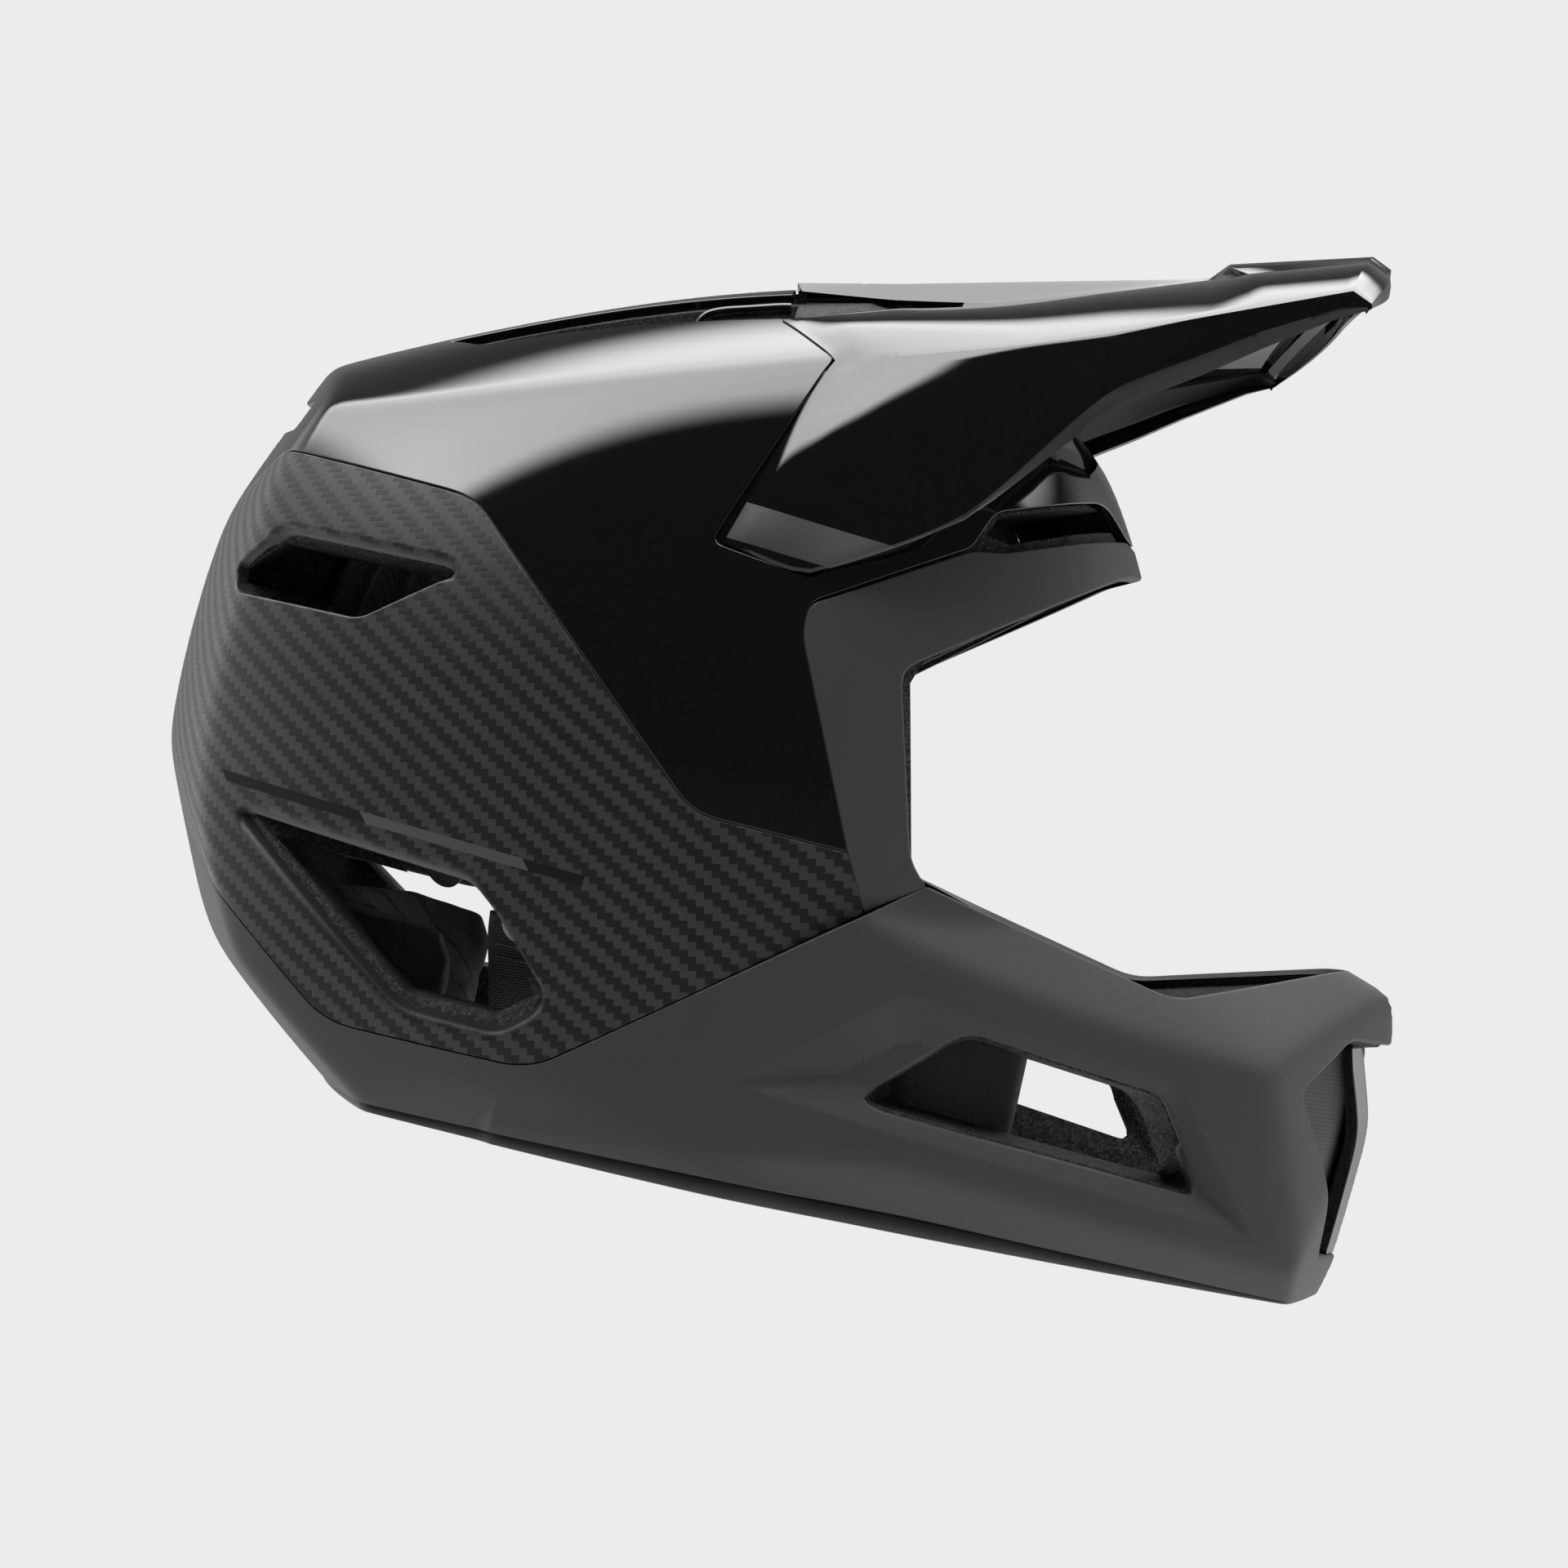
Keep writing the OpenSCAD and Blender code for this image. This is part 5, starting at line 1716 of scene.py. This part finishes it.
M["painted_edge_highlight"] = painted_edge_highlight()
M["bar_black"] = bar_black()
M["fine_mesh"] = fine_mesh()
M["thread"] = rubber("thread", (0.045, 0.045, 0.047), (0.07, 0.07, 0.073))
LOOKS = {"crown_skin": "gloss_black", "crown_seat": "gloss_black", "rear_skin": "carbon_weave", "brow_skin": "matt_grey", "lower_skin": "matt_grey",
         "chin_liner": "bead_foam", "crown_core": "bead_foam", "nose_insert": "bar_black", "nose_mesh": "fine_mesh", "duct_bridges": "gloss_black", "pivot_studs": "steel", "rib_screw": "steel"}
for nm, ob in PIECES.items():
    if nm in LOOKS:
        look = LOOKS[nm]
    elif nm.startswith("seam_line"):
        look = "seam_red"
    elif nm.startswith("chin_webbing") or nm.startswith("pull_tab"):
        look = "webbing"
    elif "stitches" in nm or "tacks" in nm:
        look = "thread"
    else:
        look = "liner_fabric"
    paint(ob, look)
visor.data.materials[0] = M["visor_black"]
# slot 1 of the visor, its bevelled rim, carries the painted highlight
visor.data.materials[1] = M["painted_edge_highlight"]
paint(rim, "rim_rubber")
for nd in frame["record"]["subparts"]:
    o = frame["nodes"][nd["node"]]
    if not o.hide_render:
        o.data.materials.clear()
        o.data.materials.append(M[nd["material_slot"]])


# ------------------------------------------------------------------
# Camera, light, backdrop
# ------------------------------------------------------------------
ROLL = math.radians(13)
cam = bpy.data.cameras.new("cam")
cam.sensor_width = 36
cam.lens = 36 / (0.24 * 1920 / 1100)
cam.clip_end = 50
co = bpy.data.objects.new("cam", cam)
SC.collection.objects.link(co)
right = Vector((math.cos(ROLL), 0, math.sin(ROLL)))
up = Vector((-math.sin(ROLL), 0, math.cos(ROLL)))
back = Vector((0, -1, 0))
co.matrix_world = Matrix(((right.x, up.x, back.x, -0.006), (right.y, up.y, back.y, -1.1), (right.z, up.z, back.z, 0.112), (0, 0, 0, 1)))
SC.camera = co
SC.view_settings.view_transform = "Standard"
BG = 0.8388


class World(Mat):
    """the studio as a function of direction: a pale backdrop for the camera, one long soft box overhead, dim walls and a light floor for everything else"""

    def __init__(self):
        w = bpy.data.worlds.new("studio")
        SC.world = w
        w.use_nodes = True
        w.cycles.sampling_method = "NONE"
        self.t = w.node_tree
        for n in list(self.t.nodes):
            self.t.nodes.remove(n)
        tc = self.n("ShaderNodeTexCoord")
        x, y, z = self.xyz(tc.outputs["Generated"])
        m = self.math
        zz = m("MAXIMUM", z, 0.03)
        u, v = m("DIVIDE", x, zz), m("DIVIDE", y, zz)
        c, s = math.cos(math.radians(21.3)), math.sin(math.radians(21.3))
        a = m("ADD", m("MULTIPLY", u, c), m("MULTIPLY", v, s))
        b = m("ADD", m("MULTIPLY", u, -s), m("MULTIPLY", v, c))
        key = m("MULTIPLY", self.step(b, *KEY["near"]), self.step(b, *KEY["far"]))
        key = m("MULTIPLY", key, m("MULTIPLY", self.step(a, *KEY["left"]), self.step(a, *KEY["right"])))
        key = m("MULTIPLY", key, m("GREATER_THAN", z, 0.0))
        power = self.ramp(b, KEY["across"])
        power = m("MULTIPLY", power, self.ramp(a, KEY["along"]))
        key = m("MULTIPLY", key, power)
        ax = m("ABSOLUTE", x)
        side = m("MULTIPLY", self.step(ax, 0.3, 0.95), self.step(y, -0.65, 0.15))
        side = m("MULTIPLY", side, self.step(z, 0.62, 0.25))
        left = m("MULTIPLY", side, self.step(x, 0.1, -0.1))
        right_ = m("MULTIPLY", side, self.step(x, -0.1, 0.1))
        backw = m("MULTIPLY", self.step(y, -0.1, 0.6), self.step(z, 0.7, 0.2))
        floor = self.step(z, 0.02, -0.4)
        env = m("ADD", m("ADD", m("MULTIPLY", left, ENV["left"]), m("MULTIPLY", right_, ENV["right"])),
                m("ADD", m("MULTIPLY", backw, ENV["back"]), m("MULTIPLY", floor, ENV["floor"])))
        env = m("ADD", env, ENV["base"])
        lp = self.n("ShaderNodeLightPath")
        dif = m("ADD", m("MULTIPLY", key, ENV["key_diffuse"]), m("MULTIPLY_ADD", env, ENV["env_diffuse"], ENV["ambient"]))
        glo = m("ADD", key, env)
        isd = lp.outputs["Is Diffuse Ray"]
        other = m("ADD", m("MULTIPLY", dif, isd), m("MULTIPLY", glo, m("SUBTRACT", 1.0, isd)))
        isc = lp.outputs["Is Camera Ray"]
        tot = m("ADD", m("MULTIPLY", isc, BG), m("MULTIPLY", other, m("SUBTRACT", 1.0, isc)))
        bgn = self.n("ShaderNodeBackground")
        bgn.inputs[0].default_value = (1, 1, 1, 1)
        self.link(tot, bgn.inputs[1])
        o = self.n("ShaderNodeOutputWorld")
        self.link(bgn.outputs[0], o.inputs[0])

    def step(self, v, a, b):
        x = self.n("ShaderNodeMapRange", interpolation_type="SMOOTHSTEP")
        lo, hi = (a, b) if a < b else (b, a)
        self.link(v, x.inputs["Value"])
        x.inputs["From Min"].default_value = lo
        x.inputs["From Max"].default_value = hi
        x.inputs["To Min"].default_value = 0 if a < b else 1
        x.inputs["To Max"].default_value = 1 if a < b else 0
        return x.outputs[0]

    def ramp(self, v, r):
        a, b, c, d = r
        return self.remap(v, a, b, c, d)


KEY = {"near": (-0.53, -0.40), "far": (1.5, 1.15), "left": (-1.95, -1.45), "right": (1.35, 0.8), "across": (-0.2, 1.0, 8.6, 4.2), "along": (-1.4, 0.6, 1.35, 0.8)}
ENV = {"left": 1.5, "right": 1.45, "back": 0.15, "floor": 0.8, "base": 0.05, "key_diffuse": 0.24, "env_diffuse": 1.0, "ambient": 0.18}
World()

fl = bpy.data.meshes.new("floor")
fl.from_pydata([(-4, -4, -0.0004), (4, -4, -0.0004), (4, 4, -0.0004), (-4, 4, -0.0004)], [], [(0, 1, 2, 3)])
floor = bpy.data.objects.new("floor", fl)
SC.collection.objects.link(floor)
fm = bpy.data.materials.new("pale_floor")
fm.use_nodes = True
ft = fm.node_tree
for n in list(ft.nodes):
    ft.nodes.remove(n)
fe = ft.nodes.new("ShaderNodeEmission")
fe.inputs[0].default_value = (1, 1, 1, 1)
fe.inputs[1].default_value = BG
fo = ft.nodes.new("ShaderNodeOutputMaterial")
ft.links.new(fe.outputs[0], fo.inputs[0])
fl.materials.append(fm)
floor.visible_glossy = floor.visible_diffuse = floor.visible_shadow = False

# ------------------------------------------------------------------
# Final update of the view layer
# ------------------------------------------------------------------
bpy.context.view_layer.update()
